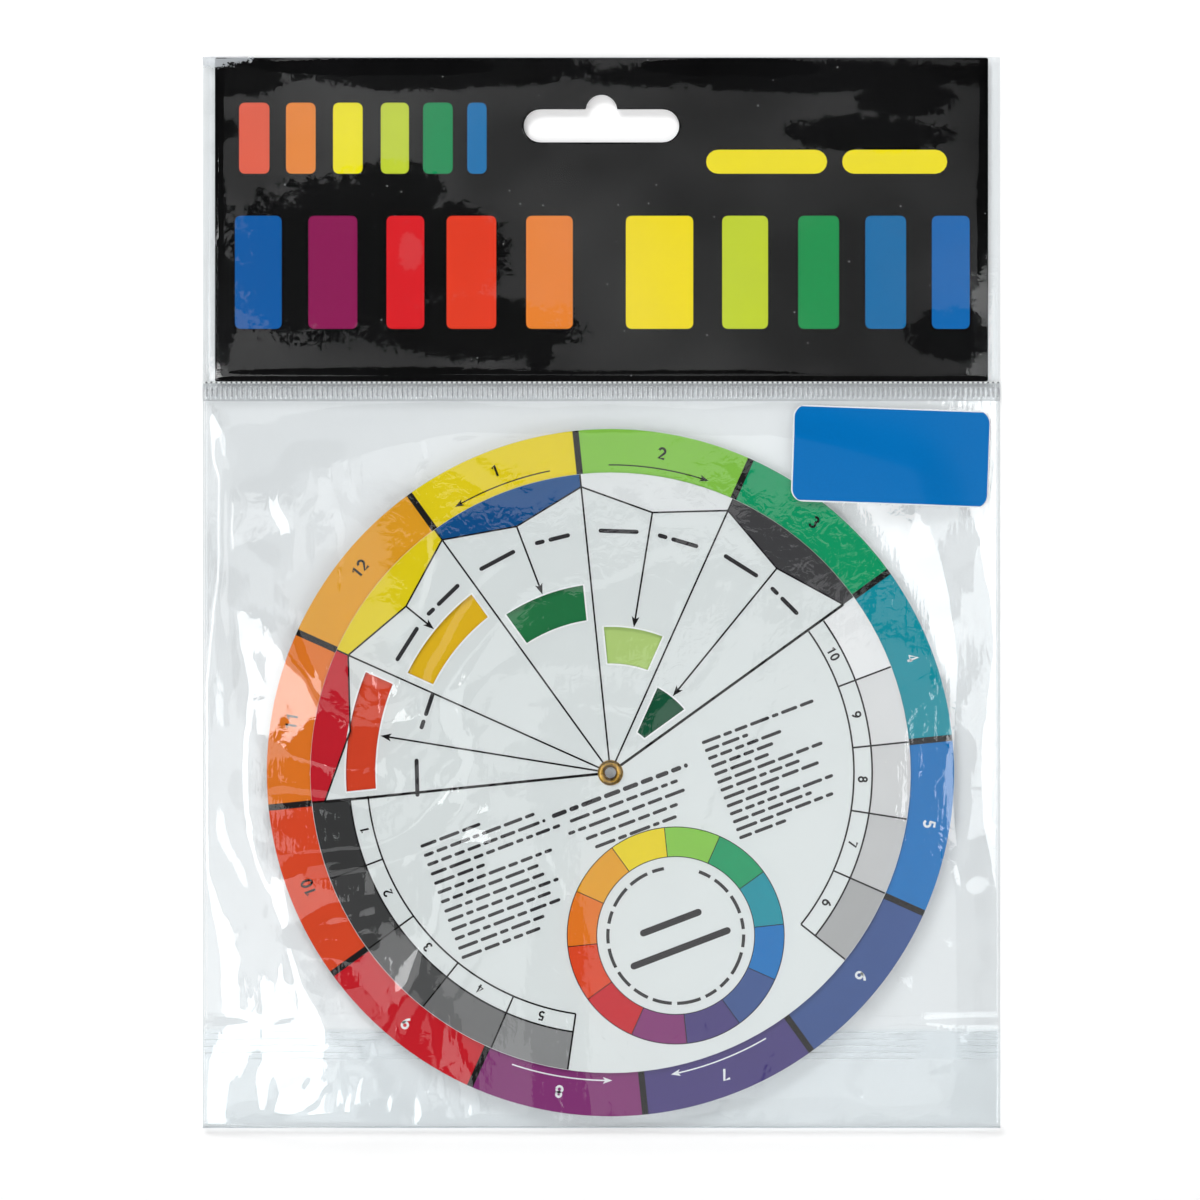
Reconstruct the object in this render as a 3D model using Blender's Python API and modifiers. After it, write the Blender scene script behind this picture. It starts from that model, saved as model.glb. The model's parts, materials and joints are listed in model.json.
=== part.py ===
"""Pocket colour mixing wheel in its hanging film bag.

Three card discs turn on one brass eyelet. The base disc carries the hue ring and, under the
dials, one ring of mixed colours for each window. The wheel lies in the open-ended pocket of a
clear bag, under a header card with a hang slot. Metres, +Z up: the bag lies on its back, its
header towards +Y, and the origin is under the middle of the bag.
"""

import math

import bmesh
import bpy
import numpy as np

# Driving sizes of the wheel
DISC_RADIUS = 0.06512
HUE_RING_WIDTH = 0.00828
CARD_THICK = 0.0004
DISC_GAP = 0.00015
WINDOW_SIDE_ROOM = 0.00155

# Driving sizes of the eyelet
BARREL_RADIUS = 0.0015
BARREL_WALL = 0.00045
FLANGE_WIDTH = 0.00092
FLANGE_THICK = 0.00035
FLANGE_CLEAR = 0.0001
RUNNING_CLEAR = 0.00008

# Driving sizes of the bag: the pocket is the wheel's size and the room round it
ROOM_LEFT = 0.01224
ROOM_RIGHT = 0.00886
ROOM_TOP = 0.00554
ROOM_BOTTOM = 0.00239
FILM_THICK = 0.00012
LAYER_GAP = 0.00015
WELD_GAP = 0.0001
SEAM_WIDTH = 0.0006
CRIMP_HEIGHT = 0.0029

# Driving sizes of the header, its card and the hang slot through them
HEADER_HEIGHT = 0.0622
HEADER_CARD_THICK = 0.0004
CARD_SEAT = 0.0006
CARD_TOP_MARGIN = 0.0002
CARD_SIDE_MARGIN = 0.00235
CARD_CORNER = 0.0004
SLOT_LENGTH = 0.0295
SLOT_HEIGHT = 0.0063
SLOT_BUMP_RISE = 0.00275
SLOT_BUMP_RADIUS = 0.0030
SLOT_DROP = 0.0131

# Driving sizes of the flap, its strip and the label
FLAP_HEIGHT = 0.0188
FLAP_STEP = 0.003
FOLD_GAP = 0.0003
STRIP_WIDTH = 0.0053
STRIP_INSET = 0.0004
STRIP_THICK = 0.0001
STRIP_CLEAR = 0.0001
LABEL_WIDTH = 0.0376
LABEL_HEIGHT = 0.0184
LABEL_CORNER = 0.0024
LABEL_THICK = 0.0001
LABEL_INSET = 0.0020
LABEL_DROP = 0.0015
CUT_OVERRUN = 0.002
WELD_WITHIN = 0.00001

# Turns in degrees, anticlockwise seen from the front
HUE_TURN = 5.85
FRONT_DIAL_TURN = 20.85
BACK_DIAL_TURN = 20.85
LABEL_TURN = -2.0

# Counts
HUE_COUNT = 12
DISC_STEPS = 120
EYELET_STEPS = 48
LIP_STEPS = 8
ARC_STEPS = 10
RISE_STEPS = 6

# Each window lies between two shares of its dial's radius, outermost first
FRONT_WINDOW_SHARES = ((0.783, 0.881), (0.660, 0.753), (0.514, 0.631), (0.364, 0.486), (0.162, 0.324))
BACK_WINDOW_SHARES = ((0.700, 0.840), (0.500, 0.640), (0.300, 0.440))

# Printed colours, as red, green and blue from 0 to 255, clockwise from the segment left of the top
HUES = {
    "yellow": (233, 212, 22),
    "yellow_green": (139, 199, 62),
    "green": (0, 150, 100),
    "blue_green": (0, 146, 160),
    "blue": (0, 118, 190),
    "blue_violet": (60, 80, 140),
    "violet": (85, 70, 130),
    "red_violet": (142, 55, 125),
    "red": (205, 30, 40),
    "red_orange": (235, 80, 40),
    "orange": (240, 130, 30),
    "yellow_orange": (235, 160, 35),
}
# What each window adds to the hue under it, with its share of the mix
FRONT_ADDED_SHARES = {
    "red": ((205, 30, 40), 0.45),
    "yellow": ((233, 212, 22), 0.5),
    "blue": ((0, 118, 190), 0.5),
    "white": ((255, 255, 255), 0.4),
    "black": ((30, 30, 30), 0.4),
}
BACK_ADDED_SHARES = {
    "tint": ((255, 255, 255), 0.55),
    "tone": ((128, 128, 128), 0.5),
    "shade": ((30, 30, 30), 0.45),
}
DARKEST_INK = 0.01
# Finishes: colour from 0 to 255, roughness, metallic and alpha
FINISHES = {
    "white_card": ((236, 238, 236), 0.35, 0.0, 1.0),
    "black_card": ((22, 20, 22), 0.45, 0.0, 1.0),
    "brass": ((205, 170, 90), 0.25, 1.0, 1.0),
    "clear_film": ((225, 230, 232), 0.1, 0.0, 0.25),
    "adhesive": ((215, 216, 214), 0.3, 0.0, 0.5),
    "blue_paper": ((0, 114, 188), 0.4, 0.0, 1.0),
}

# Sizes that follow from the driving sizes
dial_radius = DISC_RADIUS - HUE_RING_WIDTH
bore_radius = BARREL_RADIUS - BARREL_WALL
flange_radius = BARREL_RADIUS + FLANGE_WIDTH
hub_hole_radius = BARREL_RADIUS + RUNNING_CLEAR
sector_angle = 2 * math.pi / HUE_COUNT

pocket_width = ROOM_LEFT + 2 * DISC_RADIUS + ROOM_RIGHT
bag_height = ROOM_BOTTOM + 2 * DISC_RADIUS + ROOM_TOP + CRIMP_HEIGHT + HEADER_HEIGHT
half_width = pocket_width / 2
half_height = bag_height / 2
wheel_x = (ROOM_LEFT - ROOM_RIGHT) / 2
wheel_y = DISC_RADIUS + ROOM_BOTTOM - half_height
crimp_bottom_y = wheel_y + DISC_RADIUS + ROOM_TOP
crimp_top_y = crimp_bottom_y + CRIMP_HEIGHT
card_bottom_y = crimp_top_y + CARD_SEAT
card_top_y = half_height - CARD_TOP_MARGIN
card_half_width = half_width - CARD_SIDE_MARGIN
slot_y = half_height - SLOT_DROP

# Levels, from the table up
flap_lift = FILM_THICK + 2 * STRIP_CLEAR + STRIP_THICK
eyelet_low_z = flap_lift + FILM_THICK + LAYER_GAP
back_dial_z = eyelet_low_z + FLANGE_THICK + FLANGE_CLEAR
base_disc_z = back_dial_z + CARD_THICK + DISC_GAP
front_dial_z = base_disc_z + CARD_THICK + DISC_GAP
eyelet_front_z = front_dial_z + CARD_THICK + FLANGE_CLEAR
pocket_ceiling_z = eyelet_front_z + FLANGE_THICK + LAYER_GAP
header_card_z = FILM_THICK + LAYER_GAP
header_ceiling_z = header_card_z + HEADER_CARD_THICK + LAYER_GAP
stack_top_z = pocket_ceiling_z + FILM_THICK + LAYER_GAP + LABEL_THICK
fold_axis_z = (flap_lift + FILM_THICK) / 2


def linear_colour(rgb):
    """Red, green and blue from 0 to 255 as the linear values that a shader takes."""
    share = np.array(rgb, float) / 255
    return np.where(share <= 0.04045, share / 12.92, ((share + 0.055) / 1.055) ** 2.4)


def mixed_colour(rgb, added, added_share):
    """Inks mix as filters do: the weighted geometric mean of the two, channel by channel."""
    hue = np.maximum(linear_colour(rgb), DARKEST_INK)
    other = np.maximum(linear_colour(added), DARKEST_INK)
    return hue ** (1 - added_share) * other**added_share


def material(name, colour, roughness, metallic=0.0, alpha=1.0):
    made = bpy.data.materials.new(name)
    made.use_nodes = True
    shader = made.node_tree.nodes["Principled BSDF"]
    shader.inputs["Base Color"].default_value = (*map(float, colour), 1.0)
    shader.inputs["Roughness"].default_value = roughness
    shader.inputs["Metallic"].default_value = metallic
    shader.inputs["Alpha"].default_value = alpha
    return made


def finish(piece, name):
    rgb, roughness, metallic, alpha = FINISHES[name]
    made = bpy.data.materials.get(name)
    if made is None:
        made = material(name, linear_colour(rgb), roughness, metallic, alpha)
    piece.data.materials.append(made)


def new_object(name, data, home, parent, location=(0, 0, 0), turn_degrees=0.0):
    made = bpy.data.objects.new(name, data)
    home.objects.link(made)
    made.parent = parent
    made.location = location
    made.rotation_euler.z = math.radians(turn_degrees)
    return made


def joint_empty(name, home, location, parent=None):
    made = new_object(name, None, home, parent, location)
    made.empty_display_size = flange_radius
    return made


def arc(radius, start, end, steps, centre=(0, 0)):
    """Points along an arc, angles in radians from +X."""
    angles = np.linspace(start, end, steps + 1)
    return [(centre[0] + radius * math.cos(a), centre[1] + radius * math.sin(a)) for a in angles]


def circle(radius, steps):
    return arc(radius, 0, 2 * math.pi, steps)[:-1]


def rounded_rectangle(width, height, corner, centre=(0, 0)):
    outline = []
    for quarter, (side_x, side_y) in enumerate(((1, 1), (-1, 1), (-1, -1), (1, -1))):
        middle = (
            centre[0] + side_x * (width / 2 - corner),
            centre[1] + side_y * (height / 2 - corner),
        )
        start = quarter * math.pi / 2
        outline += arc(corner, start, start + math.pi / 2, ARC_STEPS // 2, middle)
    return outline


def rectangle(low_x, low_y, high_x, high_y):
    return [(low_x, low_y), (high_x, low_y), (high_x, high_y), (low_x, high_y)]


def sector_window(inner, outer, middle_angle):
    """A window across one sector: two concentric arcs, and sides parallel to the sector's lines."""
    half = sector_angle / 2
    half_outer = half - math.asin(WINDOW_SIDE_ROOM / outer)
    half_inner = half - math.asin(WINDOW_SIDE_ROOM / inner)
    far_side = arc(outer, middle_angle - half_outer, middle_angle + half_outer, ARC_STEPS)
    near_side = arc(inner, middle_angle + half_inner, middle_angle - half_inner, ARC_STEPS)
    return far_side + near_side


def hang_slot():
    """The slot: a straight bar with round ends, and a round bump over its middle."""
    end_radius = SLOT_HEIGHT / 2
    end_x = SLOT_LENGTH / 2 - end_radius
    bump_centre_y = slot_y + end_radius + SLOT_BUMP_RISE - SLOT_BUMP_RADIUS
    sink = slot_y + end_radius - bump_centre_y
    foot = math.asin(max(min(sink / SLOT_BUMP_RADIUS, 1.0), -1.0))
    quarter = math.pi / 2
    right = arc(end_radius, -quarter, quarter, ARC_STEPS, (end_x, slot_y))
    bump = arc(SLOT_BUMP_RADIUS, foot, math.pi - foot, ARC_STEPS, (0, bump_centre_y))
    left = arc(end_radius, quarter, 3 * quarter, ARC_STEPS, (-end_x, slot_y))
    return right + bump + left


def flat_piece(name, outlines, low_z, thick, home, parent, location=(0, 0), turn_degrees=0.0):
    """A sheet from 2D outlines, the first its edge and the others holes, made a mesh."""
    curve = bpy.data.curves.new(name + "_outline", "CURVE")
    curve.dimensions = "2D"
    curve.fill_mode = "BOTH"
    curve.extrude = thick / 2
    for outline in outlines:
        spline = curve.splines.new("POLY")
        spline.points.add(len(outline) - 1)
        for point, (x, y) in zip(spline.points, outline):
            point.co = (x, y, 0, 1)
        spline.use_cyclic_u = True
    drawn = new_object(name + "_outline", curve, home, None)
    bpy.context.view_layer.update()
    evaluated = drawn.evaluated_get(bpy.context.evaluated_depsgraph_get())
    mesh = bpy.data.meshes.new_from_object(evaluated)
    mesh.name = name
    bpy.data.objects.remove(drawn)
    bpy.data.curves.remove(curve)
    weld_mesh(mesh)
    return new_object(name, mesh, home, parent, (*location, low_z + thick / 2), turn_degrees)


def weld_mesh(mesh):
    bm = bmesh.new()
    bm.from_mesh(mesh)
    bmesh.ops.remove_doubles(bm, verts=bm.verts, dist=WELD_WITHIN)
    bmesh.ops.recalc_face_normals(bm, faces=bm.faces)
    bm.to_mesh(mesh)
    bm.free()


def turned_piece(name, profile, steps, home, parent, location, turn_degrees=0.0):
    """A closed profile of radius and height, swept a full turn and made a mesh."""
    mesh = bpy.data.meshes.new(name)
    edges = [(i, (i + 1) % len(profile)) for i in range(len(profile))]
    mesh.from_pydata([(r, 0, z) for r, z in profile], edges, [])
    swept = new_object(name + "_profile", mesh, home, None)
    screw = swept.modifiers.new("turn", "SCREW")
    screw.steps = steps
    screw.render_steps = steps
    screw.use_merge_vertices = True
    screw.merge_threshold = WELD_WITHIN
    bpy.context.view_layer.update()
    evaluated = swept.evaluated_get(bpy.context.evaluated_depsgraph_get())
    made = bpy.data.meshes.new_from_object(evaluated)
    made.name = name
    bpy.data.objects.remove(swept)
    bpy.data.meshes.remove(mesh)
    return new_object(name, made, home, parent, location, turn_degrees)


def cut(piece, cutter, operation="DIFFERENCE"):
    modifier = piece.modifiers.new(cutter.name, "BOOLEAN")
    modifier.operation = operation
    modifier.object = cutter
    modifier.solver = "EXACT"


def as_cutter(piece):
    piece.hide_render = True
    piece.display_type = "WIRE"
    return piece


def smooth_round(piece, sharp_degrees=30):
    piece.data.shade_smooth()
    piece.data.set_sharp_from_angle(angle=math.radians(sharp_degrees))


def ring_limits(window_shares):
    """Radii between the printed rings: each ring is centred on its window and meets the next."""
    limits = [dial_radius]
    for upper, lower in zip(window_shares, window_shares[1:]):
        limits.append(dial_radius * (upper[0] + lower[1]) / 2)
    last = window_shares[-1]
    limits.append(max(dial_radius * last[0] - WINDOW_SIDE_ROOM, 2 * hub_hole_radius))
    return limits


def print_cells(disc):
    """Gives each face of the base disc the ink of its ring and its hue segment."""
    mesh = disc.data
    front_limits = ring_limits(FRONT_WINDOW_SHARES)
    back_limits = ring_limits(BACK_WINDOW_SHARES)
    finish(disc, "white_card")
    inks = {"paper": 0}
    card_roughness = FINISHES["white_card"][1]
    for face in mesh.polygons:
        x, y, z = face.center
        radius = math.hypot(x, y)
        clockwise = math.atan2(x, y) % (2 * math.pi)
        hue = list(HUES)[(int(clockwise // sector_angle) + 1) % HUE_COUNT]
        on_front = z > CARD_THICK / 2
        limits = front_limits if on_front else back_limits
        added = FRONT_ADDED_SHARES if on_front else BACK_ADDED_SHARES
        ring = sum(radius < limit for limit in limits)
        if abs(face.normal.z) < 0.5 or ring > len(added):
            name, colour = "paper", None
        elif ring == 0:
            name, colour = hue, linear_colour(HUES[hue])
        else:
            other = list(added)[ring - 1]
            name, colour = f"{hue}_and_{other}", mixed_colour(HUES[hue], *added[other])
        if name not in inks:
            inks[name] = len(inks)
            mesh.materials.append(material(name, colour, card_roughness))
        face.material_index = inks[name]


def base_disc(home, parent):
    """The middle card. Its profile has a point at each limit between two printed rings."""
    front = ring_limits(FRONT_WINDOW_SHARES)
    back = ring_limits(BACK_WINDOW_SHARES)
    profile = [(hub_hole_radius, CARD_THICK)]
    profile += [(r, CARD_THICK) for r in reversed(front)]
    profile += [(DISC_RADIUS, CARD_THICK), (DISC_RADIUS, 0)]
    profile += [(r, 0) for r in back]
    profile += [(hub_hole_radius, 0)]
    place = (0, 0, base_disc_z)
    disc = turned_piece("base_disc", profile, DISC_STEPS, home, parent, place, HUE_TURN)
    print_cells(disc)
    smooth_round(disc)


def eyelet(home, parent):
    """One piece of brass: a barrel through the three cards and a rolled lip on each side."""
    lip_middle = (bore_radius + flange_radius) / 2
    lip_half = (flange_radius - bore_radius) / 2
    back_z = back_dial_z - FLANGE_CLEAR
    angles = np.linspace(math.pi, 0, LIP_STEPS + 1)
    lip = [(lip_middle + lip_half * math.cos(a), FLANGE_THICK * math.sin(a)) for a in angles]
    front = [(r, eyelet_front_z + h) for r, h in lip]
    back = [(r, back_z - h) for r, h in reversed(lip)]
    profile = front + [(BARREL_RADIUS, eyelet_front_z), (BARREL_RADIUS, back_z)] + back
    made = turned_piece("eyelet", profile, EYELET_STEPS, home, parent, (0, 0, 0))
    finish(made, "brass")
    smooth_round(made, sharp_degrees=40)


def front_dial(home, parent):
    """White card with one window in each of five sectors, one over each mixing ring."""
    windows = []
    for place, (inner_share, outer_share) in enumerate(FRONT_WINDOW_SHARES):
        sectors_from_axis = place - (len(FRONT_WINDOW_SHARES) - 1) / 2
        middle = math.pi / 2 - sectors_from_axis * sector_angle
        windows.append(sector_window(dial_radius * inner_share, dial_radius * outer_share, middle))
    outlines = [circle(dial_radius, DISC_STEPS), circle(hub_hole_radius, EYELET_STEPS), *windows]
    dial = flat_piece(
        "front_dial", outlines, front_dial_z, CARD_THICK, home, parent, (0, 0), FRONT_DIAL_TURN
    )
    finish(dial, "white_card")
    smooth_round(dial)


def back_dial(home, parent):
    """White card whose three windows, in one sector, show the tint, the tone and the shade."""
    windows = []
    for inner_share, outer_share in BACK_WINDOW_SHARES:
        inner = dial_radius * inner_share
        windows.append(sector_window(inner, dial_radius * outer_share, math.pi / 2))
    outlines = [circle(dial_radius, DISC_STEPS), circle(hub_hole_radius, EYELET_STEPS), *windows]
    dial = flat_piece(
        "back_dial", outlines, back_dial_z, CARD_THICK, home, parent, (0, 0), BACK_DIAL_TURN
    )
    finish(dial, "white_card")
    smooth_round(dial)


def smoothed(share):
    """A share held between 0 and 1 and eased at both ends."""
    held = np.clip(share, 0, 1)
    return held * held * (3 - 2 * held)


def back_film_level(y):
    """Underside of the back film: on the table, but stepped up over the folded flap."""
    flap_top_y = FLAP_HEIGHT - half_height
    return flap_lift * smoothed((flap_top_y + FLAP_STEP - y) / FLAP_STEP)


def front_film_level(x, y):
    """Underside of the front film: welded at the seams and the crimp, raised over the wheel
    and over the header card, and one straight tunnel from the wheel's middle to the mouth."""
    welded = back_film_level(y) + FILM_THICK + WELD_GAP
    from_seam = half_width - SEAM_WIDTH - np.abs(x)
    pocket_rise = min(ROOM_LEFT, ROOM_RIGHT) - SEAM_WIDTH
    pocket = smoothed(from_seam / pocket_rise) * smoothed((crimp_bottom_y - y) / ROOM_TOP)
    header_rise = CARD_SIDE_MARGIN - SEAM_WIDTH
    header = smoothed(from_seam / header_rise) * smoothed((y - crimp_top_y) / CARD_SEAT)
    over_wheel = welded + pocket * (pocket_ceiling_z - welded)
    over_card = welded + header * (header_ceiling_z - welded)
    return np.maximum(over_wheel, over_card)


def film_columns():
    """Places across the bag where the film bends, from the left edge to the right."""
    seam_x = half_width - SEAM_WIDTH
    pocket_rise = min(ROOM_LEFT, ROOM_RIGHT) - SEAM_WIDTH
    right = [half_width, seam_x, card_half_width]
    right += [seam_x - pocket_rise * step / RISE_STEPS for step in range(1, RISE_STEPS + 1)]
    return sorted({-x for x in right} | set(right))


def film_rows():
    """Places up the bag where the film bends, from the mouth to the top edge."""
    flap_top_y = FLAP_HEIGHT - half_height
    rows = [FOLD_GAP - half_height, crimp_top_y, card_bottom_y, half_height]
    rows += [flap_top_y + FLAP_STEP * step / RISE_STEPS for step in range(RISE_STEPS + 1)]
    rows += [crimp_bottom_y - ROOM_TOP * step / RISE_STEPS for step in range(RISE_STEPS + 1)]
    rows.append((crimp_top_y + card_bottom_y) / 2)
    return sorted(set(rows))


def film_sheet(name, level, thick, home, parent):
    """A grid with a line at each bend, laid on a level and given its thickness upwards."""
    columns = film_columns()
    rows = film_rows()
    bm = bmesh.new()
    bmesh.ops.create_grid(bm, x_segments=len(columns) - 1, y_segments=len(rows) - 1, size=1)
    for vertex in bm.verts:
        column = round((vertex.co.x + 1) / 2 * (len(columns) - 1))
        row = round((vertex.co.y + 1) / 2 * (len(rows) - 1))
        x, y = columns[column], rows[row]
        vertex.co = (x, y, float(level(x, y)))
    bmesh.ops.recalc_face_normals(bm, faces=bm.faces)
    if sum(face.normal.z for face in bm.faces) < 0:
        bmesh.ops.reverse_faces(bm, faces=bm.faces)
    mesh = bpy.data.meshes.new(name)
    bm.to_mesh(mesh)
    bm.free()
    sheet = new_object(name, mesh, home, parent)
    shell = sheet.modifiers.new("thickness", "SOLIDIFY")
    shell.thickness = thick
    shell.offset = 1
    return sheet


def bag_films(home, cutters, parent):
    slot_cutter = as_cutter(
        flat_piece(
            "hang_slot_cutter",
            [hang_slot()],
            -CUT_OVERRUN,
            stack_top_z + 2 * CUT_OVERRUN,
            cutters,
            parent,
        )
    )
    back = film_sheet(
        "bag_back_film", lambda x, y: back_film_level(y), FILM_THICK, home, parent
    )
    front = film_sheet("bag_front_film", front_film_level, FILM_THICK, home, parent)
    for film in (back, front):
        finish(film, "clear_film")
        cut(film, slot_cutter)


def header_card(home, parent):
    card_height = card_top_y - card_bottom_y
    middle = (0, (card_top_y + card_bottom_y) / 2)
    edge = rounded_rectangle(2 * card_half_width, card_height, CARD_CORNER, middle)
    card = flat_piece(
        "header_card", [edge, hang_slot()], header_card_z, HEADER_CARD_THICK, home, parent
    )
    finish(card, "black_card")


def label(home, cutters, parent):
    """The sticker: the front film's own surface, lifted clear of it and cut to the outline."""
    middle = (
        half_width - LABEL_INSET - LABEL_WIDTH / 2,
        crimp_bottom_y - LABEL_DROP - LABEL_HEIGHT / 2,
    )
    outline = rounded_rectangle(LABEL_WIDTH, LABEL_HEIGHT, LABEL_CORNER)
    cutter = as_cutter(
        flat_piece(
            "label_outline_cutter",
            [outline],
            0,
            stack_top_z + CUT_OVERRUN,
            cutters,
            parent,
            middle,
            LABEL_TURN,
        )
    )
    lift = FILM_THICK + LAYER_GAP
    sticker = film_sheet(
        "label", lambda x, y: front_film_level(x, y) + lift, LABEL_THICK, home, parent
    )
    finish(sticker, "blue_paper")
    cut(sticker, cutter, "INTERSECT")


def flap(home, parent):
    """The panel folded up behind the mouth, and the peel and seal strip along its free edge."""
    edge = rectangle(-half_width, 0, half_width, FLAP_HEIGHT)
    panel = flat_piece("bag_flap", [edge], -fold_axis_z, FILM_THICK, home, parent)
    finish(panel, "clear_film")
    strip_top = FLAP_HEIGHT - STRIP_INSET
    strip_half = half_width - STRIP_INSET
    strip_edge = rectangle(-strip_half, strip_top - STRIP_WIDTH, strip_half, strip_top)
    strip_z = FILM_THICK + STRIP_CLEAR - fold_axis_z
    strip = flat_piece("adhesive_strip", [strip_edge], strip_z, STRIP_THICK, home, parent)
    finish(strip, "adhesive")


def clear_scene():
    for old in list(bpy.data.objects):
        bpy.data.objects.remove(old)


def collection(name):
    made = bpy.data.collections.new(name)
    bpy.context.scene.collection.children.link(made)
    return made


def build():
    clear_scene()
    home = collection("color_mixing_wheel")
    cutters = collection("cutters")
    wheel_axis = joint_empty("wheel_axis", home, (wheel_x, wheel_y, 0))
    front_axis = joint_empty("front_dial_axis", home, (0, 0, 0), wheel_axis)
    back_axis = joint_empty("back_dial_axis", home, (0, 0, 0), wheel_axis)
    bag_slide = joint_empty("bag_slide", home, (0, 0, 0))
    fold_axis = joint_empty("fold_axis", home, (0, -half_height, fold_axis_z), bag_slide)
    base_disc(home, wheel_axis)
    eyelet(home, wheel_axis)
    front_dial(home, front_axis)
    back_dial(home, back_axis)
    header_card(home, bag_slide)
    bag_films(home, cutters, bag_slide)
    label(home, cutters, bag_slide)
    flap(home, fold_axis)
    bpy.context.view_layer.update()


build()
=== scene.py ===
import json
import math

import bmesh
import bpy
import numpy as np
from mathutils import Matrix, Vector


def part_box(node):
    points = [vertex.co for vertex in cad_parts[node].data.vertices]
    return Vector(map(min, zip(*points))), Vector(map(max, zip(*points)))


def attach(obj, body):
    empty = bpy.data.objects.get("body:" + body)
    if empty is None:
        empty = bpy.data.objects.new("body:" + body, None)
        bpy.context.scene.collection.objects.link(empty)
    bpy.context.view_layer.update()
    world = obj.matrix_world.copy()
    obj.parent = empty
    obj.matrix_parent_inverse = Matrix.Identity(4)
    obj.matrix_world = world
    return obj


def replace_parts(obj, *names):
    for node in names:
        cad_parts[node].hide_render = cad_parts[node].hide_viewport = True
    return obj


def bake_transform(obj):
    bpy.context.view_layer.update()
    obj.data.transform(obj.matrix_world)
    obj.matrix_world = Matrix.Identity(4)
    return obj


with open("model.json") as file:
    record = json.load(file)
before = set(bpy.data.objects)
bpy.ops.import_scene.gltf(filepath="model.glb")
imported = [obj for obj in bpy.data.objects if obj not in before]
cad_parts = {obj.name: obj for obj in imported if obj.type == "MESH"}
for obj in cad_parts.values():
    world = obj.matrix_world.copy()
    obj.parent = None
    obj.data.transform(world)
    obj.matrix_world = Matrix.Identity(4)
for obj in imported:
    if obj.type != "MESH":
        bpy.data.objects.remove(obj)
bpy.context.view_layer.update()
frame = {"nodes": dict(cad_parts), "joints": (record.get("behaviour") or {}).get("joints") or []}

# The colour mixing wheel in its clear bag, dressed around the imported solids.
# Metres. Clock angles are in degrees, clockwise from the top of the wheel.

mm = 0.001


def boxOf(node):
    low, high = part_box(node)
    return np.array(low), np.array(high)


def jointPlace(name):
    joint = next(j for j in frame["joints"] if j["name"] == name)
    return np.array(joint["pos_m"])


# Places and levels, all read from the frame
frontLow, frontHigh = boxOf("bag_front_film")
backHigh = boxOf("bag_back_film")[1]
discLow, discHigh = boxOf("base_disc")
dialLow, dialHigh = boxOf("front_dial")
rearLow = boxOf("back_dial")[0]
eyeLow, eyeHigh = boxOf("eyelet")
cardLow, cardHigh = boxOf("header_card")
flapLow, flapHigh = boxOf("bag_flap")
labelLow, labelHigh = boxOf("label")
foldPlace = jointPlace("flap_fold")
wheelCentre = jointPlace("front_dial_turn")[:2]
discRadius = (discHigh[0] - discLow[0]) / 2
dialRadius = (dialHigh[0] - dialLow[0]) / 2
halfWidth = frontHigh[0]
halfHeight = frontHigh[1]
mouthY = frontLow[1]

# Sizes that the solids have too
cadFilm = flapHigh[2] - flapLow[2]
sizes = {
    "cardSeat": 0.6 * mm,
    "sealHeight": 2.9 * mm,
    "seamWidth": 0.6 * mm,
    "flapStep": 3.0 * mm,
    "cardSideMargin": 2.35 * mm,
    "slotLength": 29.5 * mm,
    "slotHeight": 6.3 * mm,
    "slotBumpRise": 2.75 * mm,
    "slotBumpRadius": 3.0 * mm,
    "slotDrop": 13.1 * mm,
    "windowSideRoom": 1.55 * mm,
    "film": 0.06 * mm,
}
turns = {"hues": -5.85, "frontDial": -20.85, "rearDial": -20.85, "label": -2.0}
frontWindows = ((0.783, 0.881), (0.660, 0.753), (0.514, 0.631), (0.364, 0.486), (0.162, 0.324))
rearWindows = ((0.700, 0.840), (0.500, 0.640), (0.300, 0.440))

sealTopY = cardLow[1] - sizes["cardSeat"]
sealLowY = sealTopY - sizes["sealHeight"]
slotY = halfHeight - sizes["slotDrop"]
flapTopY = flapHigh[1]
flapLift = backHigh[2] - cadFilm
labelMiddle = (labelLow[:2] + labelHigh[:2]) / 2
weldedLevel = frontLow[2]
pocketCeiling = frontHigh[2] - cadFilm
headerCeiling = cardHigh[2] + 0.15 * mm


# Colours and materials

def linear(rgb):
    # 0 to 255 as a screen shows it, to the linear share that a shader takes
    share = np.array(rgb, float) / 255
    return np.where(share <= 0.04045, share / 12.92, ((share + 0.055) / 1.055) ** 2.4)


def mixedInk(rgb, added, share):
    # two inks as filters: the weighted geometric mean, channel by channel
    hue = np.maximum(linear(rgb), 0.001)
    other = np.maximum(linear(added), 0.001)
    return hue ** (1 - share) * other**share


def operator(operation, turned=False):
    # a sum's method: it adds one Math node, its two sides changed over when turned
    def act(self, other):
        return self.sum(operation, other, self) if turned else self.sum(operation, self, other)
    return act


class Value:
    # one socket, on which sums are written as sums; each adds its Math node
    def __init__(self, desk, socket):
        self.desk = desk
        self.socket = socket

    def sum(self, operation, first, second):
        return self.desk.node("ShaderNodeMath", {"operation": operation}, {0: first, 1: second})

    def parts(self):
        # the three numbers of a place
        split = self.desk.node("ShaderNodeSeparateXYZ", None, {0: self}).socket.node
        return [Value(self.desk, socket) for socket in split.outputs]

    __add__, __radd__ = operator("ADD"), operator("ADD", True)
    __sub__, __rsub__ = operator("SUBTRACT"), operator("SUBTRACT", True)
    __mul__, __rmul__ = operator("MULTIPLY"), operator("MULTIPLY", True)

    def above(self, limit):
        return self.sum("GREATER_THAN", self, limit)


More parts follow.
